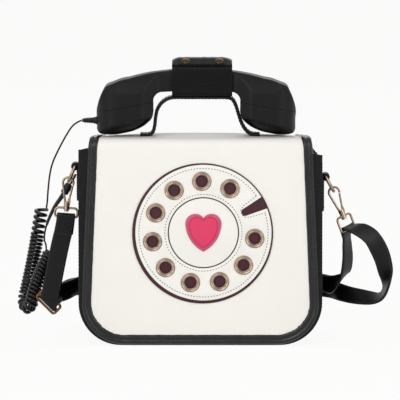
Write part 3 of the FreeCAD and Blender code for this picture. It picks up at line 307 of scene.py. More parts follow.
def layer(name, node, edge, segments=2):
    """A cut leather layer with its edges rounded."""
    obj = copy_node(name, node)
    bpy.ops.object.mode_set(mode="EDIT")
    bpy.ops.mesh.select_all(action="SELECT")
    bpy.ops.mesh.dissolve_limited(angle_limit=math.radians(1))
    bpy.ops.object.mode_set(mode="OBJECT")
    modify(obj, "BEVEL", width=edge * MM, segments=segments, limit_method="ANGLE", angle_limit=math.radians(50))
    return smooth(obj, 30)


def stitches(name, places, length, width, height):
    """One stitch, a small pillow of thread, copied to (place, way, up) places."""
    start_clean()
    bpy.ops.mesh.primitive_uv_sphere_add(segments=6, ring_count=4, radius=1)
    pattern = bpy.context.object
    corners = [v.co.copy() for v in pattern.data.vertices]
    faces = [tuple(p.vertices) for p in pattern.data.polygons]
    bpy.data.objects.remove(pattern)
    points, skins = [], []
    for place, way, up in places:
        way = way.normalized()
        up = (up - way * up.dot(way)).normalized()
        side = way.cross(up)
        first = len(points)
        points += [(place + way * (c.z * length / 2) + side * (c.x * width / 2) + up * (c.y * height / 2)) * MM
                   for c in corners]
        skins += [tuple(first + i for i in face) for face in faces]
    mesh = bpy.data.meshes.new(name)
    mesh.from_pydata(points, [], skins)
    obj = bpy.data.objects.new(name, mesh)
    bpy.context.collection.objects.link(obj)
    tidy(obj, 1e-8)
    return smooth(obj, 80)


def sewn(line, pitch):
    """Stitch places at an even pitch along (place, up) points."""
    places, left = [], pitch / 2
    for (a, up_a), (b, up_b) in zip(line, line[1:]):
        run = (b - a).length
        at = left
        while at < run:
            share = at / run
            places.append((a.lerp(b, share), b - a, up_a.lerp(up_b, share)))
            at += pitch
        left = at - run
    return places


def band_seams(name, stations, inset, pitch, thread, sides=(-1, 1), faces=(1, -1)):
    """Stitch rows along both edges of a band, on the faces named."""
    places = []
    for face_side in faces:
        for edge in sides:
            line = []
            for place, across, face in stations:
                share = (across.length - inset) / across.length
                line.append((place + across * (edge * share) + face * (face_side * 1.03), face * face_side))
            places += sewn(line, pitch)
    return stitches(name, places, pitch * 0.72, thread, thread * 0.8)


# Finishes: node materials on Object coordinates, each made once.

FINISHES = {}


class Finish:
    """A material's node tree, with short ways to add and join nodes."""

    def __init__(self, name):
        self.material = bpy.data.materials.new(name)
        self.material.use_nodes = True
        self.nodes = self.material.node_tree.nodes
        self.shader = self.nodes["Principled BSDF"]
        self.place = self.nodes.new("ShaderNodeTexCoord").outputs["Object"]
        FINISHES[name] = self.material

    def join(self, output, socket):
        self.material.node_tree.links.new(output, socket)

    def set(self, **values):
        for key, value in values.items():
            self.shader.inputs[key.replace("_", " ")].default_value = value

    def add(self, kind, **values):
        node = self.nodes.new(kind)
        for key, value in values.items():
            node.inputs[key.replace("_", " ")].default_value = value
        return node

    def noise(self, scale, detail=3.0, roughness=0.55, stretch=None):
        node = self.add("ShaderNodeTexNoise", Scale=scale, Detail=detail, Roughness=roughness)
        self.join(self.mapped(stretch) if stretch else self.place, node.inputs["Vector"])
        return node.outputs["Fac"]

    def mapped(self, stretch):
        node = self.add("ShaderNodeMapping", Scale=stretch)
        self.join(self.place, node.inputs["Vector"])
        return node.outputs["Vector"]

    def cells(self, scale):
        node = self.nodes.new("ShaderNodeTexVoronoi")
        node.feature = "SMOOTH_F1"
        node.inputs["Scale"].default_value = scale
        node.inputs["Smoothness"].default_value = 0.35
        self.join(self.place, node.inputs["Vector"])
        return node.outputs["Distance"]

    def waves(self, scale, direction):
        node = self.add("ShaderNodeTexWave", Scale=scale, Distortion=0.4)
        node.bands_direction = direction
        self.join(self.place, node.inputs["Vector"])
        return node.outputs["Fac"]

    def spread(self, value, low, high, start=0.3, end=0.7):
        node = self.add("ShaderNodeMapRange", From_Min=start, From_Max=end, To_Min=low, To_Max=high)
        self.join(value, node.inputs["Value"])
        return node.outputs["Result"]

    def combine(self, operation, a, b):
        node = self.nodes.new("ShaderNodeMath")
        node.operation = operation
        for k, value in enumerate((a, b)):
            if isinstance(value, (int, float)):
                node.inputs[k].default_value = value
            else:
                self.join(value, node.inputs[k])
        return node.outputs[0]

    def tint(self, share, low, high):
        """A base colour that goes from one tone to another with a pattern."""
        node = self.nodes.new("ShaderNodeMix")
        node.data_type = "RGBA"
        node.inputs[6].default_value = (*low, 1)
        node.inputs[7].default_value = (*high, 1)
        self.join(share, node.inputs[0])
        self.join(node.outputs[2], self.shader.inputs["Base Color"])

    def roughness(self, value, low, high):
        self.join(self.spread(value, low, high), self.shader.inputs["Roughness"])

    def bump(self, height, strength, depth):
        node = self.add("ShaderNodeBump", Strength=strength, Distance=depth * MM)
        self.join(height, node.inputs["Height"])
        self.join(node.outputs["Normal"], self.shader.inputs["Normal"])


def tones(base, darker, lighter):
    return [tuple(min(c * share, 1) for c in base) for share in (darker, lighter)]


def leather(name, base, grain, rough, specular, darker=0.8, lighter=1.15, depth=0.16):
    """Grained leather: small pebbles, soft creases and a tone that drifts over the hide."""
    finish = Finish(name)
    pebbles = finish.cells(1000 / grain)
    creases = finish.noise(70, 5, 0.6, (1, 1, 0.45))
    pores = finish.noise(1800, 2)
    drift = finish.combine("ADD", finish.spread(finish.noise(28), 0, 0.65), finish.spread(pebbles, 0.35, 0, 0.2, 0.75))
    finish.tint(drift, *tones(base, darker, lighter))
    finish.roughness(creases, rough - 0.06, rough + 0.09)
    height = finish.combine("ADD", finish.combine("MULTIPLY", pebbles, -0.8), finish.combine("MULTIPLY", creases, 1.6))
    finish.bump(finish.combine("ADD", height, finish.combine("MULTIPLY", pores, 0.35)), 0.5, depth)
    finish.set(Specular_IOR_Level=specular)


def metal(name, base, rough):
    """Plated metal: fine brush marks and a few duller spots."""
    finish = Finish(name)
    spots = finish.noise(160, 4)
    marks = finish.noise(900, 3, 0.6, (1, 1, 0.12))
    finish.tint(finish.spread(spots, 0, 1), *tones(base, 0.86, 1.06))
    finish.roughness(marks, rough - 0.05, rough + 0.1)
    finish.bump(marks, 0.12, 0.03)
    finish.set(Metallic=1.0)


def moulded(name, base, rough, texture, specular=0.4):
    """Moulded plastic or rubber: an even fine texture and faint handling marks."""
    finish = Finish(name)
    marks = finish.noise(45, 4)
    finish.tint(finish.spread(marks, 0, 1), *tones(base, 0.88, 1.12))
    finish.roughness(marks, rough - 0.05, rough + 0.07)
    finish.bump(finish.noise(texture, 2), 0.25, 0.05)
    finish.set(Specular_IOR_Level=specular)


def cloth(name, base):
    """Plain woven lining."""
    finish = Finish(name)
    weave = finish.combine("MULTIPLY", finish.waves(300, "X"), finish.waves(300, "Z"))
    finish.tint(finish.combine("ADD", weave, finish.spread(finish.noise(40), 0, 0.4)), *tones(base, 0.7, 1.3))
    finish.roughness(weave, 0.82, 0.95)
    finish.bump(weave, 0.5, 0.2)
    finish.set(Sheen_Weight=0.25, Specular_IOR_Level=0.2)


def thread(name, base):
    """Twisted sewing thread."""
    finish = Finish(name)
    twist = finish.noise(2600, 2, 0.5, (1, 1, 0.4))
    finish.tint(twist, *tones(base, 0.75, 1.25))
    finish.roughness(twist, 0.6, 0.75)
    finish.bump(twist, 0.4, 0.08)


def make_finishes(colours):
    black = tuple(colours.black)
    leather("black_leather", black, 1.3, 0.33, 0.18, 0.75, 1.3, 0.22)
    leather("binding_leather", black, 1.3, 0.24, 0.34, 0.75, 1.3, 0.2)
    # The handset holder's leather has a darker base colour than the bag's black leather. The darker base is painted
    # shade for the holder, whose upward-facing parts look darker.
    leather("holder_leather", linear(12, 11, 11), 1.3, 0.26, 0.13, 0.75, 1.3, 0.22)
    leather("white_leather", tuple(colours.white), 0.9, 0.5, 0.3, 0.975, 1.0, 0.07)
    leather("burgundy_leather", tuple(colours.burgundy), 0.9, 0.5, 0.3)
    leather("rose_leather", tuple(colours.rose), 0.9, 0.48, 0.3, 0.9, 1.06, 0.1)
    leather("pink_leather", tuple(colours.pink), 0.9, 0.48, 0.3, 0.92, 1.05, 0.1)
    cloth("lining_cloth", tuple(colours.lining))
    metal("gold_metal", tuple(colours.gold), 0.2)
    metal("eyelet_metal", tuple(colours.pale_gold), 0.24)
    # Bronze metal for the snap caps. The same finish on the eyelets' outer edge rings is painted shade.
    metal("bronze_metal_and_painted_shade", tuple(colours.bronze_and_eyelet_shade), 0.14)
    metal("old_gold", linear(116, 86, 56), 0.25)
    # A darker copy of the eyelet metal for the eyelets' inner rolls: painted shade where the roll turns into the hole.
    metal("eyelet_roll_painted_shade", linear(150, 126, 110), 0.25)
    metal("magnet_steel", linear(190, 190, 192), 0.35)
    moulded("black_plastic", tuple(colours.plastic), 0.42, 2200, 0.14)
    moulded("capsule_plastic", linear(60, 60, 60), 0.55, 1500)
    moulded("cord_plastic", linear(14, 14, 14), 0.2, 900, 0.28)
    moulded("boot_rubber", linear(30, 30, 31), 0.55, 1500, 0.3)
    thread("black_thread", linear(44, 44, 45))
    thread("grey_thread", linear(62, 58, 60))
    thread("rose_thread", linear(128, 20, 54))


def fit(obj, body, finish, *nodes):
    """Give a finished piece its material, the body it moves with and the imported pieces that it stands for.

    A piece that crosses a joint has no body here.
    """
    obj.data.materials.clear()
    obj.data.materials.append(FINISHES[finish])
    if body:
        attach(obj, body)
    if nodes:
        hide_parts(*nodes)
    return obj


def refinish(finish, *nodes):
    for node in nodes:
        obj = NODES[node]
        if not obj.material_slots:
            obj.data.materials.append(None)
        for slot in obj.material_slots:
            slot.material = FINISHES[finish]


# Shared lines of the bag and the flap.

BAG_HALF, BAG_ROUND, PANEL_BACK, BACK_ROUND, GUSSET_TOP = 121.0, 42.0, 202.5, 30.0, 193.0
LEATHER, LINING, LINING_HALF, PANEL_FACE, CREST, SIDE_LEAN = 2.4, 0.8, 37.9, 41.0, 95, 150
BACK_SEAM, SIDE_SEAM, HINGE_Y, WELT_LEVEL, WELT_RADIUS = 41.35, 35.5, 39.8, 203.5, 2.0
FLAP_FACE, ROOF, BEND, FLAP_REAR, FLAP_LOW, FLAP_ROUND = -45.0, 206.0, 9.0, 37.0, 1.5, 42.0
ROOF_HALF, FLARE, CROWN, SHOULDER, ROOF_TAPER = 111.0, 0.04126, 4.2, 1.8, 5.5


def bag_half(z):
    if z >= BAG_ROUND:
        return BAG_HALF
    return BAG_HALF - BAG_ROUND + math.sqrt(BAG_ROUND ** 2 - (BAG_ROUND - z) ** 2)


def flap_half(z, y=FLAP_FACE):
    """Half the flap's width. The roof narrows towards the rear."""
    corner = FLAP_LOW + FLAP_ROUND
    half = ROOF_HALF + (ROOF - max(z, corner)) * FLARE
    if z < corner:
        return half - FLAP_ROUND + math.sqrt(max(FLAP_ROUND ** 2 - (corner - z) ** 2, 0))
    turned_over = max(z - ROOF + BEND, 0) / BEND
    back = max(y - FLAP_FACE - BEND, 0) / (FLAP_REAR - FLAP_FACE - BEND)
    return half - 1.4 * turned_over ** 1.5 - ROOF_TAPER * back ** 1.2


def flap_drop(x, y, z):
    """How far the roof sinks at its sides, and more so towards the rear."""
    high = ramp(z - 150, 50)
    rear = ramp(y + 20, 57) ** 1.2
    rounding = max(abs(x) - flap_half(z, y) + 6, 0) / 6
    return high * (CROWN * (abs(x) / ROOF_HALF) ** 2.6 * rear + SHOULDER * rounding ** 3)


def flap_place(x, y, z, out, depth):
    """A point at a depth under the flap's outer face, where out is the face's direction before it sinks."""
    slope = (flap_drop(x + 0.5, y, z) - flap_drop(x - 0.5, y, z)) * out.z
    normal = Vector((slope, out.y, out.z)).normalized()
    return Vector((x, y, z - flap_drop(x, y, z))) - normal * depth


def flap_profile():
    """The flap's outer line from the roof's rear edge to the lower edge, as (y, z, outward)."""
    line = [(FLAP_REAR - k * (FLAP_REAR - FLAP_FACE - BEND) / 14, ROOF, UP) for k in range(14)]
    for k in range(9):
        turn = math.pi / 2 * k / 8
        out = Vector((0, -math.sin(turn), math.cos(turn)))
        line.append((FLAP_FACE + BEND + out.y * BEND, ROOF - BEND + out.z * BEND, out))
    high, corner = ROOF - BEND, FLAP_LOW + FLAP_ROUND
    line += [(FLAP_FACE, high + (corner - high) * k / 26, FRONT) for k in range(1, 27)]
    for k in range(1, 17):
        line.append((FLAP_FACE, corner - FLAP_ROUND * math.sin(math.pi / 2 * k / 16), FRONT))
    return line


def flap_sheet(name, top, under, margin):
    """A layer of the flap between two depths under its outer face."""
    rows = []
    columns = 40
    for y, z, out in flap_profile():
        half = flap_half(z, y) - margin
        level = max(z, FLAP_LOW + margin)
        places = [half * math.sin(math.pi * (k / columns - 0.5)) for k in range(columns + 1)]
        outer = [flap_place(x, y, level, out, top) for x in places]
        inner = [flap_place(x, y, level, out, under) for x in places]
        rows.append(outer + inner[::-1])
    return loft(name, capped(rows))


def flap_edge():
    """Places along the flap's edge from the rear left over the front to the rear right: (place, inward, outward)."""
    half = []
    for y, z, out in flap_profile():
        if z < FLAP_LOW + FLAP_ROUND - 0.1:
            break
        x = flap_half(z, y)
        half.append((Vector((-x, y, z)), Vector((1, 0, -FLARE if out.z < 0.5 else 0)), out))
    corner = FLAP_LOW + FLAP_ROUND
    middle = -(flap_half(corner) - FLAP_ROUND)
    for k in range(1, 31):
        inward = direction(math.pi / 2 * k / 30)
        half.append((Vector((middle, FLAP_FACE, corner)) - inward * FLAP_ROUND, inward, FRONT))
    half += [(Vector((middle * (1 - k / 24), FLAP_FACE, FLAP_LOW)), UP, FRONT) for k in range(1, 25)]
    return half + [(mirrored(p), mirrored(i), o) for p, i, o in half[-2::-1]]


# Cords: each follows a smooth line with the route's points as its control points.

LEAD_TOP = [(-118.32, 0, 221.2), (-126, 0.6, 218.6), (-134, 3, 206.5), (-138.25, 5, 198.5)]
LEAD_ROUTE = [(-138.25, 5, 198.5), (-142.5, 7, 190.5), (-148.6, 10.5, 177), (-151.2, 13.2, 165),
              (-152.4, 15.2, 154), (-153.2, 16.4, 145), (-153.65, 17.52, 137.4), (-154.41, 19.29, 133.18),
              (-154.7, 22.74, 130.47), (-154.5, 26.67, 129.56)]
CURL_ROUTE = [(-159.9, 30, 129.7), (-164.7, 30.6, 98.5), (-169.4, 32.6, 73.4), (-174.6, 34, 50), (-178, 31, 37),
              (-175, 21, 30), (-169.6, 11.5, 35), (-167.2, 8, 48), (-161, 8.6, 66), (-154.4, 9, 80), (-150.6, 9, 88.3)]
TAIL_RISE = [(0, 0, 0), (0, 3.4, 0.7), (-0.2, 6.3, 3), (-0.9, 7.4, 6.8)]
TAIL_ROUTE = [(-156.9, 18, 99), (-156.4, 15.6, 106), (-155.2, 14, 111.5)]
SLEEVE_ROUTE = [(-154.2, 13.6, 115), (-151.6, 13.9, 122), (-146.4, 14.7, 132.8), (-140.6, 15.6, 141.2),
                (-137, 16.1, 146.4)]
PLUG_START, PLUG_WAY = Vector((-137, 16.1, 146.4)), Vector((0.52, 0.11, 0.85)).normalized()
BOOT_START, BOOT_TIP = Vector((-103, 0, 221.2)), Vector((-118, 0, 221.2))
LEAD_RADIUS, CURL_WIRE = 0.9, 1.75
BARREL_PROFILE = [(0, 0), (0, 3.0), (0.8, 4), (2, 4), (2.3, 3.75), (2.9, 3.75), (3.2, 4), (10, 4), (11, 3.2), (11, 0)]
PIN_PROFILE = [(0, 0), (0, 1.75), (5, 1.75), (5.1, 1.6), (5.6, 1.6), (5.7, 1.75), (8.4, 1.75), (8.5, 1.6), (9, 1.6),
               (9.1, 1.75), (10.2, 1.45), (11.4, 1.3), (12, 0.6), (12, 0)]


def cord_line(name, route, radius=0.0, resolution=8):
    """A smooth curve with the route as its control points. With a radius it is a round cord."""
    curve = bpy.data.curves.new(name, "CURVE")
    curve.dimensions = "3D"
    spline = curve.splines.new("NURBS")
    spline.points.add(len(route) - 1)
    for point, place in zip(spline.points, route):
        point.co = (*(Vector(place) * MM), 1)
    spline.order_u = 3
    spline.use_endpoint_u = True
    spline.resolution_u = resolution
    curve.resolution_u = resolution
    if radius:
        curve.bevel_depth = radius * MM
        curve.bevel_resolution = 3
        curve.use_fill_caps = True
    obj = bpy.data.objects.new(name, curve)
    bpy.context.collection.objects.link(obj)
    return obj


def line_points(route):
    """Places read from the smooth line of a route."""
    guide = cord_line("route_guide", route, resolution=40)
    bpy.context.view_layer.update()
    mesh = bpy.data.meshes.new_from_object(guide)
    points = [v.co / MM for v in mesh.vertices]
    bpy.data.objects.remove(guide)
    bpy.data.meshes.remove(mesh)
    return points


def curl_points(turns, sides, radius=5.5, loose=4, loose_pitch=6.6, pitch=4.3, least=3.6):
    """Points of the curls about their route, with wide first turns and wider steps round the bend."""
    axis = line_points(CURL_ROUTE)
    ways = [heading(axis, i).normalized() for i in range(len(axis))]
    phases, normals = [0.0], []
    normal, run = Vector((1, 0, 0)), 0.0
    for i, way in enumerate(ways):
        normal = (normal - way * normal.dot(way)).normalized()
        normals.append(normal)
        if i:
            stride = (axis[i] - axis[i - 1]).length
            run += stride
            bend = ways[i - 1].angle(way) / max(stride, 1e-6)
            step = loose_pitch if run < loose * loose_pitch else pitch
            phases.append(phases[-1] + stride / max(step, least / (1 - bend * radius)))
    points = []
    i = 1
    for k in range(int(turns * sides) + 1):
        phase = phases[-1] * k / (turns * sides)
        while i < len(phases) - 1 and phases[i] < phase:
            i += 1
        share = (phase - phases[i - 1]) / (phases[i] - phases[i - 1])
        angle = 2 * math.pi * k / sides
        normal = normals[i - 1].lerp(normals[i], share)
        out = normal * math.cos(angle) - ways[i].cross(normal) * math.sin(angle)
        points.append(axis[i - 1].lerp(axis[i], share) + out * radius)
    return points


VIEW_TARGET, LAMP_TARGET = Vector((-0.0004, 0, 0.1413)), Vector((0, 0, 0.12))
FLOOR_SIZE, PAPER_WHITE, PAPER_SHARE = 40, (1, 1, 0.995, 1), 0.08


def mix_shaders(tree, share, first, second):
    """A mix of two shaders by a share that is a number or comes from a node."""
    mix = tree.nodes.new("ShaderNodeMixShader")
    if isinstance(share, float):
        mix.inputs[0].default_value = share
    else:
        tree.links.new(share, mix.inputs[0])
    tree.links.new(first.outputs[0], mix.inputs[1])
    tree.links.new(second.outputs[0], mix.inputs[2])
    return mix


class PHONEBAG_OT_stage(bpy.types.Operator):
    """Camera, soft studio light and a plain white floor"""
    bl_idname = "phonebag.stage"
    bl_label = "Stage"

    def execute(self, context):
        stage = context.scene.phone_stage
        camera = bpy.data.cameras.new("camera")
        camera.lens = stage.lens
        camera.sensor_width = 36
        camera.clip_end = 50
        view = bpy.data.objects.new("camera", camera)
        back = Vector((0, -math.cos(stage.elevation), math.sin(stage.elevation)))
        view.location = VIEW_TARGET + back * stage.distance
        view.rotation_euler = (math.pi / 2 - stage.elevation, 0, 0)
        context.collection.objects.link(view)
        context.scene.camera = view
        context.scene.view_settings.view_transform = "Standard"

        for name, place, power, width, height in (
                ("key", (-1.3, -2.6, 2.3), stage.key, 1.8, 1.8),
                ("fill", (2.4, -1.6, 1.2), stage.fill, 1.6, 1.6),
                ("back", (0.4, 2.2, 2.2), stage.fill * 0.5, 1.6, 1.6),
                ("left_strip", (-1.7, -1.5, 0.3), stage.strip, 0.3, 1.6),
                ("right_strip", (1.7, -1.5, 0.3), stage.strip * 0.7, 0.3, 1.6)):
            light = bpy.data.lights.new(name, "AREA")
            light.shape = "RECTANGLE"
            light.energy = power
            light.size, light.size_y = width, height
            lamp = bpy.data.objects.new(name, light)
            lamp.location = place
            lamp.rotation_euler = (Vector(place) - LAMP_TARGET).to_track_quat("Z", "Y").to_euler()
            context.collection.objects.link(lamp)

        self.set_sky(context, stage.sky)
        start_clean()
        bpy.ops.mesh.primitive_grid_add(x_subdivisions=4, y_subdivisions=4, size=FLOOR_SIZE)
        floor = context.object
        floor.name = floor.data.name = "floor"
        floor.data.materials.append(self.floor_finish())
        return {"FINISHED"}

    @staticmethod
    def seen(tree):
        """1 for rays from the camera, mirrors and glass, and 0 for rays that light the object."""
        path = tree.nodes.new("ShaderNodeLightPath")
        total = path.outputs["Is Camera Ray"]
        for key in ("Is Glossy Ray", "Is Transmission Ray"):
            node = tree.nodes.new("ShaderNodeMath")
            node.operation = "MAXIMUM"
            tree.links.new(total, node.inputs[0])
            tree.links.new(path.outputs[key], node.inputs[1])
            total = node.outputs[0]
        return total

    def set_sky(self, context, strength):
        world = bpy.data.worlds.new("studio")
        world.use_nodes = True
        context.scene.world = world
        tree = world.node_tree
        light = tree.nodes["Background"]
        light.inputs["Color"].default_value = (1, 1, 1, 1)
        light.inputs["Strength"].default_value = strength
        shown = tree.nodes.new("ShaderNodeBackground")
        shown.inputs["Color"].default_value = PAPER_WHITE
        mix = mix_shaders(tree, self.seen(tree), light, shown)
        tree.links.new(mix.outputs[0], tree.nodes["World Output"].inputs["Surface"])

    def floor_finish(self):
        finish = Finish("floor_paper")
        tree = finish.material.node_tree
        finish.tint(finish.noise(6), (0.93, 0.93, 0.925), (0.96, 0.96, 0.955))
        finish.set(Roughness=0.9, Specular_IOR_Level=0.1)
        glow = tree.nodes.new("ShaderNodeEmission")
        glow.inputs["Color"].default_value = PAPER_WHITE
        paper = mix_shaders(tree, PAPER_SHARE, glow, finish.shader)
        mix = mix_shaders(tree, self.seen(tree), finish.shader, paper)
        tree.links.new(mix.outputs[0], tree.nodes["Material Output"].inputs["Surface"])
        return finish.material


class PHONEBAG_OT_finishes(bpy.types.Operator):
    """Leather, cloth, metal, plastic and thread materials, and the metal pieces that stay as packed"""
    bl_idname = "phonebag.finishes"
    bl_label = "Finishes"

    def execute(self, context):
        make_finishes(context.scene.phone_colours)
        for side in ("left", "right"):
            refinish("gold_metal", "d_ring_" + side, "snap_hook_" + side, "hook_gate_" + side, "strap_loop_" + side)
        refinish("old_gold", "strap_slider")
        refinish("gold_metal", "snap_studs")
        refinish("magnet_steel", "body_magnet", "flap_magnet")
        refinish("capsule_plastic", "receiver_capsule", "microphone_capsule")
        return {"FINISHED"}


class PHONEBAG_OT_cords(bpy.types.Operator):
    """Handset lead, curly cord, tail, boots and plug"""
    bl_idname = "phonebag.cords"
    bl_label = "Cords and plug"

    def execute(self, context):
        sizes = context.scene.phone_sizes
        # The lead is two pieces, one across the handset's lift and one across the flap's hinge.
        for name, route, length, lower, upper in (("handset_lead_top", LEAD_TOP, 0.0315, "flap", "handset"),
                                                  ("handset_lead", LEAD_ROUTE, 0.0779, "bag", "flap")):
            lead = cord_line(name, route, LEAD_RADIUS)
            pick(lead)
            bpy.ops.object.convert(target="MESH")
            lead = fit(bpy.context.object, None, "cord_plastic", "cord_lead")
            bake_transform(lead)
            [place * MM for place in line_points(route)]
        curls = curl_points(sizes.curl_turns, sizes.curl_sides)
        curl = fit(cord_line("curly_coil", curls, CURL_WIRE, 2), "bag", "cord_plastic", "curly_cord")

        places = catmull(SLEEVE_ROUTE, 10)
        rows = []
        for k, place in enumerate(places):
            way = heading(places, k)
            side = way.cross(BACK).normalized()
            other = way.cross(side).normalized()
            radius = 1.3 + 1.1 * k / (len(places) - 1)
            rows.append([place + (side * math.cos(math.pi * c / 10) + other * math.sin(math.pi * c / 10)) * radius
                         for c in range(20)])
        rows = pinched(rows, (places[0], places[-1]))
        sleeve = fit(loft("plug_sleeve", rows), "bag", "boot_rubber", "plug_boot")
        barrel = turned("plug_barrel", BARREL_PROFILE, PLUG_START, PLUG_WAY, 28)
        fit(barrel, "bag", "boot_rubber", "plug_body")
        pin_start = PLUG_START + PLUG_WAY * BARREL_PROFILE[-1][0]
        fit(turned("plug_pin", PIN_PROFILE, pin_start, PLUG_WAY, 24), "bag", "gold_metal", "plug_jack")
        tail_route = [curls[-1] + Vector(step) for step in TAIL_RISE] + TAIL_ROUTE + SLEEVE_ROUTE[:1]
        tail = fit(cord_line("plug_tail", tail_route, LEAD_RADIUS), "bag", "cord_plastic", "cord_tail")

        run = BOOT_TIP - BOOT_START
        profile = [(0, 0), (0, 4.0), (1.2, 4.0), (1.8, 3.4)]
        for k in range(5):
            along, radius = 2.4 + 2.3 * k, 3.35 - 0.19 * k
            profile += [(along, radius), (along + 1.0, radius), (along + 1.25, radius - 0.7),
                        (along + 2.0, radius - 0.75)]
        profile += [(14.4, 2.0), (run.length, 1.6), (run.length, 0)]
        fit(turned("lead_boot", profile, BOOT_START, run, 24), "handset", "boot_rubber", "cord_boot")
        return {"FINISHED"}


class PHONEBAG_OT_body(bpy.types.Operator):
    """Panels, gusset, lining, welt and hinge strip of the bag"""
    bl_idname = "phonebag.body"
    bl_label = "Bag body"

    def panel(self, name, face, thick, top, puff, top_round=0):
        """A panel whose lower corners are round. Face is its outer side and puff its swell at the middle."""
        inward = -1 if face > 0 else 1
        levels = [BAG_ROUND * (1 - math.cos(math.pi / 2 * k / 14)) for k in range(14)]
        start = top - top_round
        levels += [BAG_ROUND + (start - BAG_ROUND) * k / 26 for k in range(27)]
        levels += [start + top_round * math.sin(math.pi / 2 * k / 9) for k in range(1, 10) if top_round]
        rows, columns = [], 28
        for z in levels:
            outer, inner = [], []
            for k in range(columns + 1):
                u = 2 * k / columns - 1
                swell = puff * (1 - u ** 4) * math.sin(math.pi * min(z / (1.12 * top), 1)) ** 0.7
                worn = 0.7 * abs(u) ** 24
                above = max(z - start, 0)
                x = u * (bag_half(z) - top_round + math.sqrt(top_round ** 2 - above ** 2))
                if top_round:
                    low = z - flap_drop(min(abs(x), CREST), face, z)
                else:
                    ear = ramp(abs(x) - CREST, 12) * (3.8 if x < 0 else -1.4)
                    ear -= max(abs(x) - ROOF_HALF, 0) * 0.25
                    low = z + ear * ramp(z - SIDE_LEAN, GUSSET_TOP - SIDE_LEAN)
                outer.append(Vector((x, face - inward * (swell - worn), low)))
                inner.append(Vector((x, face + inward * (thick - swell), low)))
            rows.append(outer + inner[::-1])
        return loft(name, capped(rows))

    @staticmethod
    def outline(inset, top):
        """The bag's U-shaped outline from the left top to the right top, as (place, inward)."""
        half = [(Vector((-BAG_HALF, 0, top + (BAG_ROUND - top) * k / 26)), Vector((1, 0, 0))) for k in range(27)]
        middle = Vector((-BAG_HALF + BAG_ROUND, 0, BAG_ROUND))
        for k in range(1, 21):
            inward = direction(math.pi / 2 * k / 20)
            half.append((middle - inward * BAG_ROUND, inward))
        half += [(Vector((middle.x * (1 - k / 14), 0, 0)), UP) for k in range(1, 15)]
        line = half + [(mirrored(p), mirrored(i)) for p, i in half[-2::-1]]
        return [(place + inward * inset, inward) for place, inward in line]

    def gusset(self):
        """The strip round both sides and the base, hollowed where the leather gives way."""
        rows, columns, depth = [], 24, 77
        for place, inward in self.outline(0, GUSSET_TOP):
            outer, inner = [], []
            upper = ramp(place.z - 20, 120)
            for c in range(columns + 1):
                share = c / columns
                hollow = 1.6 * upper * math.sin(2 * math.pi * share) ** 2
                hollow += 0.5 * upper * noise.noise(Vector((place.x, share * 60, place.z)) * 0.035)
                hollow *= min(1, 12 * share, 12 * (1 - share))
                lean = (1.8 if place.x < 0 else -3.4) - 8 * share
                lean *= ramp(place.z - SIDE_LEAN, GUSSET_TOP - SIDE_LEAN)
                spot = place + Vector((0, -depth / 2 + depth * share, lean))
                outer.append(spot + inward * max(hollow, 0))
                inner.append(spot + inward * (LEATHER + max(hollow, 0)))
            rows.append(outer + inner[::-1])
        return loft("gusset_strip", capped(rows))

    def seams(self, pitch):
        """Stitch places on the back panel and along both edges of the gusset."""
        back = self.outline(5, PANEL_BACK - BACK_ROUND)
        places = sewn([(place + Vector((0, BACK_SEAM, 0)), BACK) for place, inward in back], pitch)
        side = self.outline(0, GUSSET_TOP - 10)
        for y in (-SIDE_SEAM, SIDE_SEAM):
            places += sewn([(place + Vector((0, y, 0)) - inward * 0.05, -inward) for place, inward in side], pitch)
        return places

    @staticmethod
    def pouch():
        """The lining, with shallow folds."""
        rows, sides = [], 64
        for k in range(33):
            z = 3.4 + (GUSSET_TOP - 9.4) * (1 - k / 32)
            half = bag_half(max(z - 2, 0.5)) - 3.3
            row = []
            for c in range(sides):
                turn = 2 * math.pi * c / sides
                x = math.copysign(abs(math.cos(turn)) ** 0.22, math.cos(turn)) * half
                y = math.copysign(abs(math.sin(turn)) ** 0.22, math.sin(turn)) * LINING_HALF
                fold = 0.5 + 0.5 * noise.noise(Vector((x * 0.03, y * 0.03, z * 0.012)))
                row.append(Vector((x * (1 - 0.008 * fold), y * (1 - 0.02 * fold), z)))
            rows.append(row)
        for share in (0.5, 0.02):
            rows.append([Vector((p.x * share, p.y * share, p.z)) for p in rows[-1]])
        return smooth(modify(loft("bag_lining", rows), "SOLIDIFY", thickness=LINING * MM, offset=-1))

    @staticmethod
    def welt():
        """The piping on the hinge line. It follows the crown of the roof."""
        rows = []
        for k in range(51):
            x = -100 + 4 * k
            radius = WELT_RADIUS if 0 < k < 50 else 0.05
            past = max(abs(x) - BAG_HALF + BACK_ROUND, 0)
            level = WELT_LEVEL - flap_drop(min(abs(x), CREST), FLAP_REAR, ROOF) - BACK_ROUND
            level += math.sqrt(BACK_ROUND ** 2 - past ** 2)
            turns = [math.pi * c / 8 for c in range(16)]
            rows.append([Vector((x, HINGE_Y + radius * math.cos(t), level + radius * math.sin(t))) for t in turns])
        return loft("hinge_piping", rows, degrees=60)

    @staticmethod
    def hinge_strip():
        """Leather from the inside of the back panel to the underside of the roof."""
        bend = [(38.2, 190), (38.2, 199.6), (37.9, 201.2), (36.9, 202.0), (35.6, 202.2), (24, 202.2)]
        rows, thick = [], 0.5
        for k in range(47):
            x = -92 + 4 * k
            drops = [flap_drop(x, y, z) for y, z in bend]
            under = [Vector((x, y, z - drop)) for (y, z), drop in zip(bend, drops)]
            over = [Vector((x, y + thick, z + (thick if y < 38 else 0) - drop)) for (y, z), drop in zip(bend, drops)]
            rows.append(under + over[::-1])
        return loft("hinge_strip", capped(rows), degrees=60)

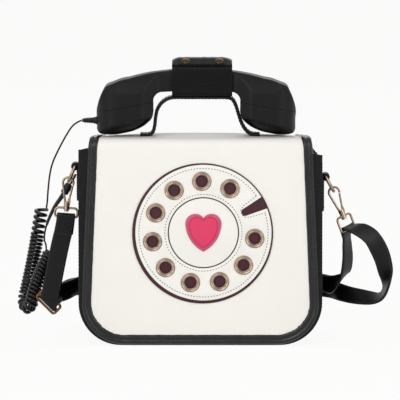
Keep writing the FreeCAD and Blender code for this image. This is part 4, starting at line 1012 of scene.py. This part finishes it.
    def execute(self, context):
        sizes = context.scene.phone_sizes
        pitch, width = sizes.stitch_pitch / MM, sizes.thread / MM
        rear = self.panel("rear_panel", PANEL_FACE, LEATHER, PANEL_BACK, 1.3, BACK_ROUND)
        fit(rear, "bag", "black_leather", "back_panel")
        front = self.panel("inner_front_panel", 0.2 - PANEL_FACE, LEATHER - 0.1, GUSSET_TOP, 0)
        fit(front, "bag", "black_leather", "front_panel")
        fit(self.gusset(), "bag", "black_leather", "gusset")
        fit(stitches("bag_stitches", self.seams(pitch), pitch * 0.72, width, 0.6), "bag", "black_thread")
        fit(self.pouch(), "bag", "lining_cloth", "lining")
        fit(self.welt(), "bag", "black_leather", "hinge_welt")
        web = fit(self.hinge_strip(), None, "black_leather")
        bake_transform(web)
        return {"FINISHED"}


class PHONEBAG_OT_flap(bpy.types.Operator):
    """White flap with its lining and its bound edge"""
    bl_idname = "phonebag.flap"
    bl_label = "Flap"

    @staticmethod
    def binding_section(width, proud, dent):
        """The binding's two rolls and its turned-under part, as (inward from the edge, height over the face)."""
        return [(width, -0.3), (width - 0.3, 0.3 * proud), (width - 0.9, 0.62 * proud), (width - 1.8, 0.88 * proud),
                (width * 0.72, 0.95 * proud - dent), (width * 0.6, 0.8 * proud - dent), (width * 0.5, 0.58 * proud),
                (width * 0.43, 0.72 * proud), (width * 0.34, 0.98 * proud), (width * 0.25, 1.1 * proud),
                (width * 0.15, 1.0 * proud), (width * 0.07, 0.8 * proud), (0.15, 0.42 * proud), (-0.3, -1.3),
                (-0.1, -2.6), (0.9, -3.3), (width * 0.5, -3.42), (width * 0.9, -3.42), (width, -3.2)]

    def execute(self, context):
        sizes = context.scene.phone_sizes
        fit(flap_sheet("flap_front", 0, LEATHER, 1.2), "flap", "white_leather", "flap_panel")
        fit(flap_sheet("flap_inside", LEATHER + 0.02, LEATHER + LINING, 1.6), "flap", "lining_cloth", "flap_lining")

        swell = sizes.binding_swell / MM
        rows = []
        for place, inward, out in flap_edge():
            inward = inward.normalized()
            seed = place * 0.05
            puckered = abs(inward.x * inward.z) * 4
            ripple = 0.16 * noise.noise(seed * 0.9) + 0.10 * noise.noise(seed * 4)
            width = 9.4 + 0.25 * noise.noise(seed * 2.2) + 0.8 * min(puckered, 1) * noise.noise(seed * 9)
            proud = swell * (1 + ripple)
            dent = 0.35 * max(noise.noise(place * 0.02 + Vector((7, 0, 0))), 0)
            row = []
            for a, b in self.binding_section(width, proud, dent):
                spot = place + inward * a
                row.append(flap_place(spot.x, spot.y, spot.z, out, -b))
            rows.append(row)
        rows = pinched(rows, [sum(row, Vector()) / len(row) for row in (rows[0], rows[-1])])
        fit(loft("flap_edge_binding", rows, degrees=60), "flap", "binding_leather", "flap_binding")
        return {"FINISHED"}


DIAL_MIDDLE = Vector((3, -47.0, 112.8))
EYELETS, EYELET_CIRCLE, EYELET_FIRST, EYELET_STEP = 10, 51.2, 59.1, 32.7273
EYELET_PROFILE = [(0, 9.4), (0.5, 9.3), (0.8, 9.0), (0.9, 8.6), (0.82, 8.2), (0.5, 7.9), (0.46, 7.6), (0.72, 7.3),
                  (0.78, 7.0), (0.6, 6.6), (0.2, 6.3), (-0.3, 6.1), (-0.8, 6.0), (-0.8, 6.6), (-0.3, 6.75), (-0.1, 7.4),
                  (-0.1, 9.2)]
# The edge profile is a thin ring over each eyelet's outer edge, finished dark: painted shade round the eyelet. The roll
# profile is a darker skin over the eyelet's inner roll: painted shade where the roll turns into the hole.
EYELET_SHADE_EDGE = [(0, 9.6), (0.3, 9.55), (0.45, 9.3), (0.45, 9.1), (0.2, 8.95), (0, 8.95)]
EYELET_ROLL = [(0.5, 7.45), (0.78, 7.2), (0.86, 6.8), (0.66, 6.3), (0.25, 5.9), (-0.3, 5.6), (-0.8, 5.5), (-0.8, 6.4),
               (0, 6.7)]
NOTCH_ANGLE, NOTCH_GAP = 26.4, (18.5, 34.5)
NOTCH_SEAM = [(63.8, 9.6), (47, 6.2), (43, 3.6), (42.2, 0), (43, -3.6), (47, -6.2), (63.8, -9.6)]


def dial_place(radius, turn):
    """A point on the dial's face."""
    return Vector((DIAL_MIDDLE.x + radius * math.cos(turn), DIAL_MIDDLE.y, DIAL_MIDDLE.z + radius * math.sin(turn)))


def front_corners(node):
    """The corners of a packed layer's front face."""
    mesh = NODES[node].data
    front = min(v.co.y for v in mesh.vertices)
    return [v.co / MM for v in mesh.vertices if v.co.y < front + 1e-5]


class PHONEBAG_OT_dial(bpy.types.Operator):
    """Sewn dial: burgundy base, white ring, eyelets and heart"""
    bl_idname = "phonebag.dial"
    bl_label = "Dial and heart"

    @staticmethod
    def circle(radius, skip=None):
        """Points on a circle about the dial's middle, without the angles of the notch."""
        line = []
        for k in range(361):
            degrees = k + (skip[1] if skip else 0)
            if skip and k > 360 - (skip[1] - skip[0]):
                break
            line.append((dial_place(radius, math.radians(degrees)), FRONT))
        return line

    def execute(self, context):
        pitch = context.scene.phone_sizes.dial_pitch / MM
        fit(layer("dial_backing", "dial_base", 0.35), "flap", "burgundy_leather", "dial_base")
        fit(layer("dial_face_ring", "dial_ring", 0.3), "flap", "white_leather", "dial_ring")
        fit(layer("dial_middle", "dial_centre", 0.3), "flap", "white_leather", "dial_centre")

        # Each eyelet also gets two rings in darker metals: painted shade at its outer edge and painted shade on its
        # inner roll.
        for name, finish, outline, nodes in (("dial_grommets", "eyelet_metal", EYELET_PROFILE, ["dial_eyelets"]),
                                             ("dial_grommet_painted_shade_edges", "bronze_metal_and_painted_shade", EYELET_SHADE_EDGE, []),
                                             ("dial_grommet_rolls_painted_shade", "eyelet_roll_painted_shade", EYELET_ROLL, [])):
            rings = []
            for k in range(EYELETS):
                spot = dial_place(EYELET_CIRCLE, math.radians(EYELET_FIRST + EYELET_STEP * k))
                rings.append(turned("%s_%d" % (name, k), outline, spot, FRONT, 40, closed=True))
            fit(joined(name, rings), "flap", finish, *nodes)

        along = direction(math.radians(NOTCH_ANGLE))
        side = Vector((-along.z, 0, along.x))
        places = sewn(self.circle(64, NOTCH_GAP), pitch) + sewn(self.circle(38.2), pitch)
        places += sewn([(DIAL_MIDDLE + along * r + side * s, FRONT) for r, s in NOTCH_SEAM], pitch)
        fit(stitches("dial_stitches", places, pitch * 0.52, 0.95, 0.55), "flap", "grey_thread")

        fit(layer("heart_backing", "heart_base", 0.35), "flap", "rose_leather", "heart_base")
        heart = layer("heart_face", "heart_top", 0.55, 3)
        corners = front_corners("heart_top")
        fit(heart, "flap", "pink_leather", "heart_top")
        centre = sum(corners, Vector()) / len(corners)
        rim = sorted(corners, key=lambda p: math.atan2(p.z - centre.z, p.x - centre.x))
        rim = [centre.lerp(p, 0.9) for p in rim + rim[:1]]
        places = sewn([(Vector((p.x, -49.0, p.z)), FRONT) for p in rim], 2.2)
        fit(stitches("heart_stitches", places, 1.75, 0.75, 0.45), "flap", "rose_thread")
        return {"FINISHED"}


DENSE_EDGE = ([(-1, 0), (-0.995, 0.6), (-0.98, 0.95), (-0.955, 1)] + [(-0.92 + 0.0575 * k, 1) for k in range(33)]
              + [(0.955, 1), (0.98, 0.95), (0.995, 0.6), (1, 0), (0.995, -0.6), (0.98, -0.95), (0.955, -1)]
              + [(0.92 - 0.0575 * k, -1) for k in range(33)] + [(-0.955, -1), (-0.98, -0.95), (-0.995, -0.6)])
HANDLE_LINE = [(-60, 207.1), (-52, 207.2), (-47.6, 209.6), (-45.6, 216), (-44.6, 225), (-42.6, 233), (-37.5, 240),
               (-28.5, 244.3), (-10, 244.6), (10, 244.6), (25, 244.5), (31.2, 243), (34.8, 237.6), (37.6, 229),
               (40.6, 220), (44.8, 212.6), (50.4, 208.2), (59, 207.1)]
HOLDER_MIDDLE, HOLDER_HALF, HOLDER_LEATHER = 1.7, Vector((30, 0, 0)), 2.2
HOLDER_CROWN, HOLDER_LIP = (-7.02, 283.65), (-16.6, 277.61)
HOLDER_RUNS = {
    "cradle": ([(15.6, 262.3, 0), (15.6, 247.1, 3.5), (-15.6, 247.1, 3.5), (-15.6, 262.4, 0)], "flap", "holder_cradle"),
    "rear": ([(15.6, 262.5, 0), (15.6, 282.45, 8.8), (*HOLDER_CROWN, 9.9), (*HOLDER_LIP, 0)], "holder_flap",
             "holder_rear_flap"),
    "tab": ([(-15.6, 262.5, 0), (-15.6, 278.4, 7), (2.2, 278.4, 0)], "holder_tab", "holder_front_tab"),
}
END_SINK = {"rear": 3.6, "tab": 1.2, "cradle": 0}
SNAP_PROFILE = [(-0.4, 0), (-0.4, 4.2), (0.2, 4.4), (0.6, 4.3), (1.0, 3.9), (1.35, 3.1), (1.55, 2.0), (1.62, 1.0),
                (1.65, 0)]
SNAP_PLACES = (-14.6, 18.9)


class PHONEBAG_OT_handle(bpy.types.Operator):
    """Top handle and the handset holder with its snaps"""
    bl_idname = "phonebag.handle"
    bl_label = "Handle and holder"

    def execute(self, context):
        sizes = context.scene.phone_sizes
        pitch, width, gather = sizes.stitch_pitch / MM, sizes.thread / MM, sizes.gather_depth / MM
        stations = strip(catmull([(x, 0, z) for x, z in HANDLE_LINE], 6), Vector((0, 12, 0)), 3)
        fit(band("carry_handle", stations), "flap", "black_leather", "top_handle")
        fit(band_seams("handle_stitches", stations, 2.6, pitch, width), "flap", "black_thread")

        for name, (corners, body, node) in HOLDER_RUNS.items():
            row = [Vector((HOLDER_MIDDLE, y, z)) for y, z in rounded(corners, 1.6)]
            stations = strip(row, HOLDER_HALF, HOLDER_LEATHER)
            outward = 1 if (stations[0][2].y > 0) == (row[0].y > 0) else -1
            if outward < 0:
                stations = [(p, -a, -f) for p, a, f in stations]

            def gathers(along, a, b, name=name):
                high = ramp(along * 2 - (0.3 if name == "rear" else 0.9), 1)
                sink = END_SINK[name] * high * (max(abs(a) - 0.66, 0) / 0.34) ** 2
                if abs(a) > 0.9 or b * outward < 0:
                    return -outward * sink
                fade = math.sin(math.pi * ramp(along, 1))
                folds = 0.6 + noise.noise(Vector((a * 7, along * 1.5, len(name)))) * 1.1
                return outward * (gather * fade * folds - sink)

            fit(band("holder_" + name + "_band", stations, gathers, DENSE_EDGE), body, "holder_leather", node)
            if name == "cradle":
                cradle = stations, outward, body
        stations, outward, body = cradle
        seams = band_seams("holder_cradle_stitches", stations, 2.4, 2.6, 0.6, faces=(outward,))
        fit(seams, body, "black_thread")

        crown, lip = Vector((0, *HOLDER_CROWN)), Vector((0, *HOLDER_LIP))
        way = (lip - crown).normalized()
        out = Vector((0, way.z, -way.y))
        seat = crown + way * (0.6 * (lip - crown).length) + out * (HOLDER_LEATHER / 2)
        caps = [turned("snap_%d" % k, SNAP_PROFILE, seat + Vector((x, 0, 0)), out, 32)
                for k, x in enumerate(SNAP_PLACES)]
        fit(joined("snap_domes", caps), "holder_flap", "bronze_metal_and_painted_shade", "snap_caps")
        return {"FINISHED"}


HANDSET_X, CUP_REACH, CUP_SEAM, CUP_TILT = -3.6, 71.9, 235.8, math.radians(10)
ARCH_DROP = ((0, 2.9), (30, 2.9), (42, 2.3), (56, 1.8), (70, 1.4), (80, 1.6), (84, 1.2), (87, 0.2), (90, -0.9),
             (94, -0.5), (110, 0))


class PHONEBAG_OT_handset(bpy.types.Operator):
    """Handset body with its two screwed-on cups"""
    bl_idname = "phonebag.handset"
    bl_label = "Handset"

    @staticmethod
    def trim(obj, place, normal, keep_below, side=0):
        """Cut a piece by a plane and close the cut. A side limits the cut to that end of the handset."""
        pick(obj)
        bpy.ops.object.mode_set(mode="EDIT")
        bpy.ops.mesh.select_all(action="SELECT" if not side else "DESELECT")
        bpy.ops.object.mode_set(mode="OBJECT")
        for face in obj.data.polygons:
            if side and (face.center.x / MM - HANDSET_X) * side > 38:
                face.select = True
        bpy.ops.object.mode_set(mode="EDIT")
        bpy.ops.mesh.bisect(plane_co=Vector(place) * MM, plane_no=normal, use_fill=True, clear_outer=keep_below,
                            clear_inner=not keep_below)
        bpy.ops.object.mode_set(mode="OBJECT")
        return obj

    @staticmethod
    def dish(obj, look):
        """Sink the middle of the flat face that looks the given way, and leave a rim round it."""
        faces = [p for p in obj.data.polygons if p.normal.dot(look) > 0.99]
        largest = max(faces, key=lambda p: p.area).index
        middle = obj.data.polygons[largest].center.copy()
        pick(obj)
        bpy.ops.object.mode_set(mode="EDIT")
        bpy.ops.mesh.select_mode(type="FACE")
        bpy.ops.mesh.select_all(action="DESELECT")
        bpy.ops.object.mode_set(mode="OBJECT")
        obj.data.polygons[largest].select = True
        bpy.ops.object.mode_set(mode="EDIT")
        for share, depth in ((0.9, 0), (0.985, 1.3)):
            bpy.ops.mesh.extrude_region_move(TRANSFORM_OT_translate={"value": -look * depth * MM})
            bpy.ops.transform.resize(value=(share, share, share), center_override=middle - look * depth * MM)
        bpy.ops.mesh.select_mode(type="VERT")
        bpy.ops.object.mode_set(mode="OBJECT")

    @staticmethod
    def settle(obj):
        """Flatten the grip's arch, let the cups down on the roof and draw their lower rims in."""
        for vertex in obj.data.vertices:
            x, z = vertex.co.x / MM, vertex.co.z / MM
            reach = abs(x - HANDSET_X)
            way = 1 if x > HANDSET_X else -1
            near = max(k for k, (at, drop) in enumerate(ARCH_DROP[:-1]) if at <= reach)
            (a, low), (b, high) = ARCH_DROP[near], ARCH_DROP[near + 1]
            drop = low + (high - low) * min((reach - a) / (b - a), 1)
            base = 253 - 13 * ramp(reach - 35, 15)
            fall = drop * ramp(z - base, 15) + 1.2 * ramp(226 - z, 10)
            rim = ramp(reach - 80, 12)
            draw = (0.7 if way < 0 else 1.0) * ramp(232 - z, 8)
            if way > 0:
                draw += ramp(258 - z, 8)
            vertex.co.x -= way * draw * rim * MM
            vertex.co.z -= fall * MM

    def whole(self):
        """The shell and the cups as one solid form with soft edges."""
        parts = [copy_node("handset_" + node, node) for node in ("handset_shell", "ear_cap", "mouth_cap")]
        obj = joined("handset_whole", parts)
        modify(obj, "REMESH", mode="VOXEL", voxel_size=0.95 * MM)
        pick(obj)
        bpy.ops.mesh.separate(type="LOOSE")
        pieces = sorted(bpy.context.selected_objects, key=lambda o: len(o.data.vertices))
        for inner in pieces[:-1]:
            bpy.data.objects.remove(inner)
        return modify(pieces[-1], "SMOOTH", factor=0.5, iterations=4)

    @staticmethod
    def seam(side):
        """A point and the direction of the plane between the body and a cup."""
        tilt = CUP_TILT * side
        return Vector((HANDSET_X + side * CUP_REACH, 0, CUP_SEAM)), Vector((math.sin(tilt), 0, math.cos(tilt)))

    def execute(self, context):
        body = self.whole()
        cups = []
        for name, node, side in (("ear_cup", "ear_cap", -1), ("mouth_cup", "mouth_cap", 1)):
            place, normal = self.seam(side)
            pick(body)
            cup = body.copy()
            cup.data = body.data.copy()
            cup.name = cup.data.name = name
            context.collection.objects.link(cup)
            self.trim(cup, place - normal * 0.3, normal, True)
            self.trim(cup, (HANDSET_X, 0, 0), Vector((side, 0, 0)), False)
            face = Vector((side * 0.225, 0.236, 0.945)).normalized()
            self.trim(cup, (place.x, -26, 220.3), face, False)
            self.dish(cup, -face)
            cups.append((cup, node))
        for side in (-1, 1):
            self.trim(body, *self.seam(side), False, side)
        body.name = body.data.name = "handset_body"
        for obj, node in [(body, "handset_shell")] + cups:
            self.settle(obj)
            tidy(obj, 1e-6)
            smooth(obj, 35)
            fit(obj, "handset", "black_plastic", node)
        return {"FINISHED"}


STRAP = [
    (-136.66, 3.4, 107.46, 9.07, 0, -1.51), (-135.26, 3, 117.46, 9.16, 0, -0.81),
    (-134.46, 2.8, 124.46, 9.18, 0, -0.64), (-134.32, 1.98, 126.43, 9.18, 0, -0.64),
    (-134.26, 0, 127.25, 9.18, 0, -0.64), (-134.32, -1.98, 126.43, 9.18, 0, -0.64),
    (-134.46, -2.8, 124.46, 9.18, 0, -0.64), (-136.26, -3.1, 113.46, 9.12, 0, -1.22), (-140.8, -3.5, 94, 8.98, 0, -2),
    (-145.7, -3.5, 70, 8.94, 0, -2.18), (-149.2, -3.2, 52, 8.86, 0, -2.46), (-152, -2.72, 39, 7.47, 0, -7.47),
    (-153.36, -1.92, 37.64, 7.47, 0, -7.47), (-153.92, 0, 37.08, 7.47, 0, -7.47),
    (-153.36, 1.92, 37.64, 7.47, 0, -7.47), (-152, 2.72, 39, 7.47, 0, -7.47), (-146, 8.5, 43, 2.4, 0, -8.88),
    (-139, 26, 46.5, 1.2, 0, -9.12), (-130, 43.5, 49, 0.6, 0, -9.18), (-113, 50.5, 50, 0, 0, -9.2),
    (-60.5, 50, 51, 0, 0, -9.2), (0, 50, 51, 0, 0, -9.2), (60.5, 50, 50, 0, 0, -9.2), (113, 50.5, 48.5, 0, 0, -9.2),
    (130, 43.5, 47.5, 0, 0, -9.2), (140, 28, 46, 0, -2, -8.98), (152, 15, 44, 0, -4.51, -8.02),
    (166, 8, 42.6, 0, -6.3, -6.7), (174, 5.5, 42.4, 0.3, -7.64, -5.12), (180, 4.2, 43.6, 1, -8.71, -2.8),
    (183.8, 3.4, 47.5, 1.6, -9.01, -0.9), (186, 2.6, 54, 2.6, -8.8, 0.6), (186.4, 1.6, 61, 4.58, -7.77, 1.79),
    (185.6, 0.8, 69.5, 6.89, -5.19, 3.2), (182.1, 0, 83.5, 7.37, -2.22, 5.05), (176.6, -1, 95.6, 6.99, 1.5, 5.79),
    (170.2, -2, 105, 5.71, 4, 6.01), (161.6, -3, 111, 4.59, 5.59, 5.69), (154.5, -3.4, 113.5, 5.23, 6.64, 3.62),
    (149.08, -1.56, 114.2, 5.52, 7.05, 2.12), (147.79, -0.76, 114.92, 5.52, 7.05, 2.12),
    (146.52, 0.31, 114.67, 5.52, 7.05, 2.12), (145.73, 1.27, 113.53, 5.52, 7.05, 2.12),
    (145.71, 1.77, 111.93, 5.52, 7.05, 2.12), (146.45, 2.6, 103.23, 3.81, 8.32, 1),
    (146.85, 2.6, 96.23, 4.43, 8.06, 0), (147.45, 3.2, 82.23, 5.06, 7.69, 0), (145.65, 6, 68.23, 5.08, 7.52, 1.52),
    (140.85, 12.5, 60.23, 3.81, 5.61, 6.21), (132, 23, 54, 1, 1.5, 9.02), (124, 42.5, 53.5, 0, 0, 9.2),
    (111, 45.5, 53, 0, 0, 9.2), (60.5, 46, 53, 0, 0, 9.2), (0, 46, 54, 0, 0, 9.2), (-60.5, 46, 53, 0, 0, 9.2),
    (-111, 45.5, 52, 0, 0, 9.2), (-124, 42.5, 50.5, 0, 0, 9.2), (-132.5, 23, 48.5, -0.81, 0, 9.16),
    (-139, 13.5, 47, -1.61, 0, 9.06),
]
STRAP_THICK, TAB_FACE, TAB_TAIL, TAB_EYE, TAB_HALF = 2.2, 122.2, 34, 2.86, Vector((0, 9, 0))


class PHONEBAG_OT_strap(bpy.types.Operator):
    """Shoulder strap and the two side tabs"""
    bl_idname = "phonebag.strap"
    bl_label = "Strap and tabs"

    def execute(self, context):
        sizes = context.scene.phone_sizes
        pitch, width = sizes.stitch_pitch / MM, sizes.thread / MM
        places = catmull([row[:3] for row in STRAP], 6)
        halves = catmull([row[3:] for row in STRAP], 6)
        stations = []
        for k, (place, across) in enumerate(zip(places, halves)):
            stations.append((place, across, heading(places, k).cross(across).normalized() * (STRAP_THICK / 2)))
        fit(band("shoulder_band", stations), "bag", "black_leather", "shoulder_strap")
        fit(band_seams("strap_stitches", stations, 1.7, pitch, width), "bag", "black_thread")
        seam = [(Vector((-137.8 + x, -4.4, 107.5 - 0.2 * x)), FRONT) for x in (-8.4, 0, 8.4)]
        fit(stitches("strap_end_seam", sewn(seam, 2.2), 1.6, width, 0.6), "bag", "black_thread")

        for side, sign, height in (("left", -1, 175.5), ("right", 1, 165.0)):
            row = [Vector((sign * TAB_FACE, 0, height - TAB_TAIL + TAB_TAIL * k / 16)) for k in range(17)]
            for k in range(1, 31):
                turn = math.radians(330 * k / 30)
                x = sign * (TAB_FACE + TAB_EYE) - sign * TAB_EYE * math.cos(turn)
                row.append(Vector((x, 0, height + TAB_EYE * math.sin(turn))))
            tab = strip(row, TAB_HALF, LEATHER)
            fit(band("tab_" + side, tab), "bag", "black_leather", "side_tab_" + side)
            outside = 1 if tab[0][2].x * sign > 0 else -1
            seams = band_seams("tab_%s_stitches" % side, tab[1:17], 2.2, 2.8, width, faces=(outside,))
            fit(seams, "bag", "black_thread")
        return {"FINISHED"}


OPERATORS = (PHONEBAG_OT_stage, PHONEBAG_OT_finishes, PHONEBAG_OT_cords, PHONEBAG_OT_body, PHONEBAG_OT_flap,
             PHONEBAG_OT_dial, PHONEBAG_OT_handle, PHONEBAG_OT_handset, PHONEBAG_OT_strap)


class PHONEBAG_PT_panel(bpy.types.Panel):
    """Lists the bag's pieces in the order in which they are made"""
    bl_label = "Phone Bag"
    bl_idname = "PHONEBAG_PT_panel"
    bl_space_type = "VIEW_3D"
    bl_region_type = "UI"
    bl_category = "Phone Bag"

    def draw(self, context):
        for settings in (context.scene.phone_colours, context.scene.phone_sizes, context.scene.phone_stage):
            for name in settings.bl_rna.properties.keys():
                if name not in ("rna_type", "name"):
                    self.layout.prop(settings, name)
        for operator in OPERATORS:
            self.layout.operator(operator.bl_idname)


CLASSES = (BagColours, BagSizes, BagStage) + OPERATORS + (PHONEBAG_PT_panel,)


def register():
    for cls in CLASSES:
        bpy.utils.register_class(cls)
    bpy.types.Scene.phone_colours = PointerProperty(type=BagColours)
    bpy.types.Scene.phone_sizes = PointerProperty(type=BagSizes)
    bpy.types.Scene.phone_stage = PointerProperty(type=BagStage)


def unregister():
    del bpy.types.Scene.phone_stage, bpy.types.Scene.phone_sizes, bpy.types.Scene.phone_colours
    for cls in reversed(CLASSES):
        bpy.utils.unregister_class(cls)


def main():
    register()
    for operator in OPERATORS:
        getattr(bpy.ops.phonebag, operator.bl_idname.split(".")[1])()
    start_clean()


if __name__ == "__main__":
    main()
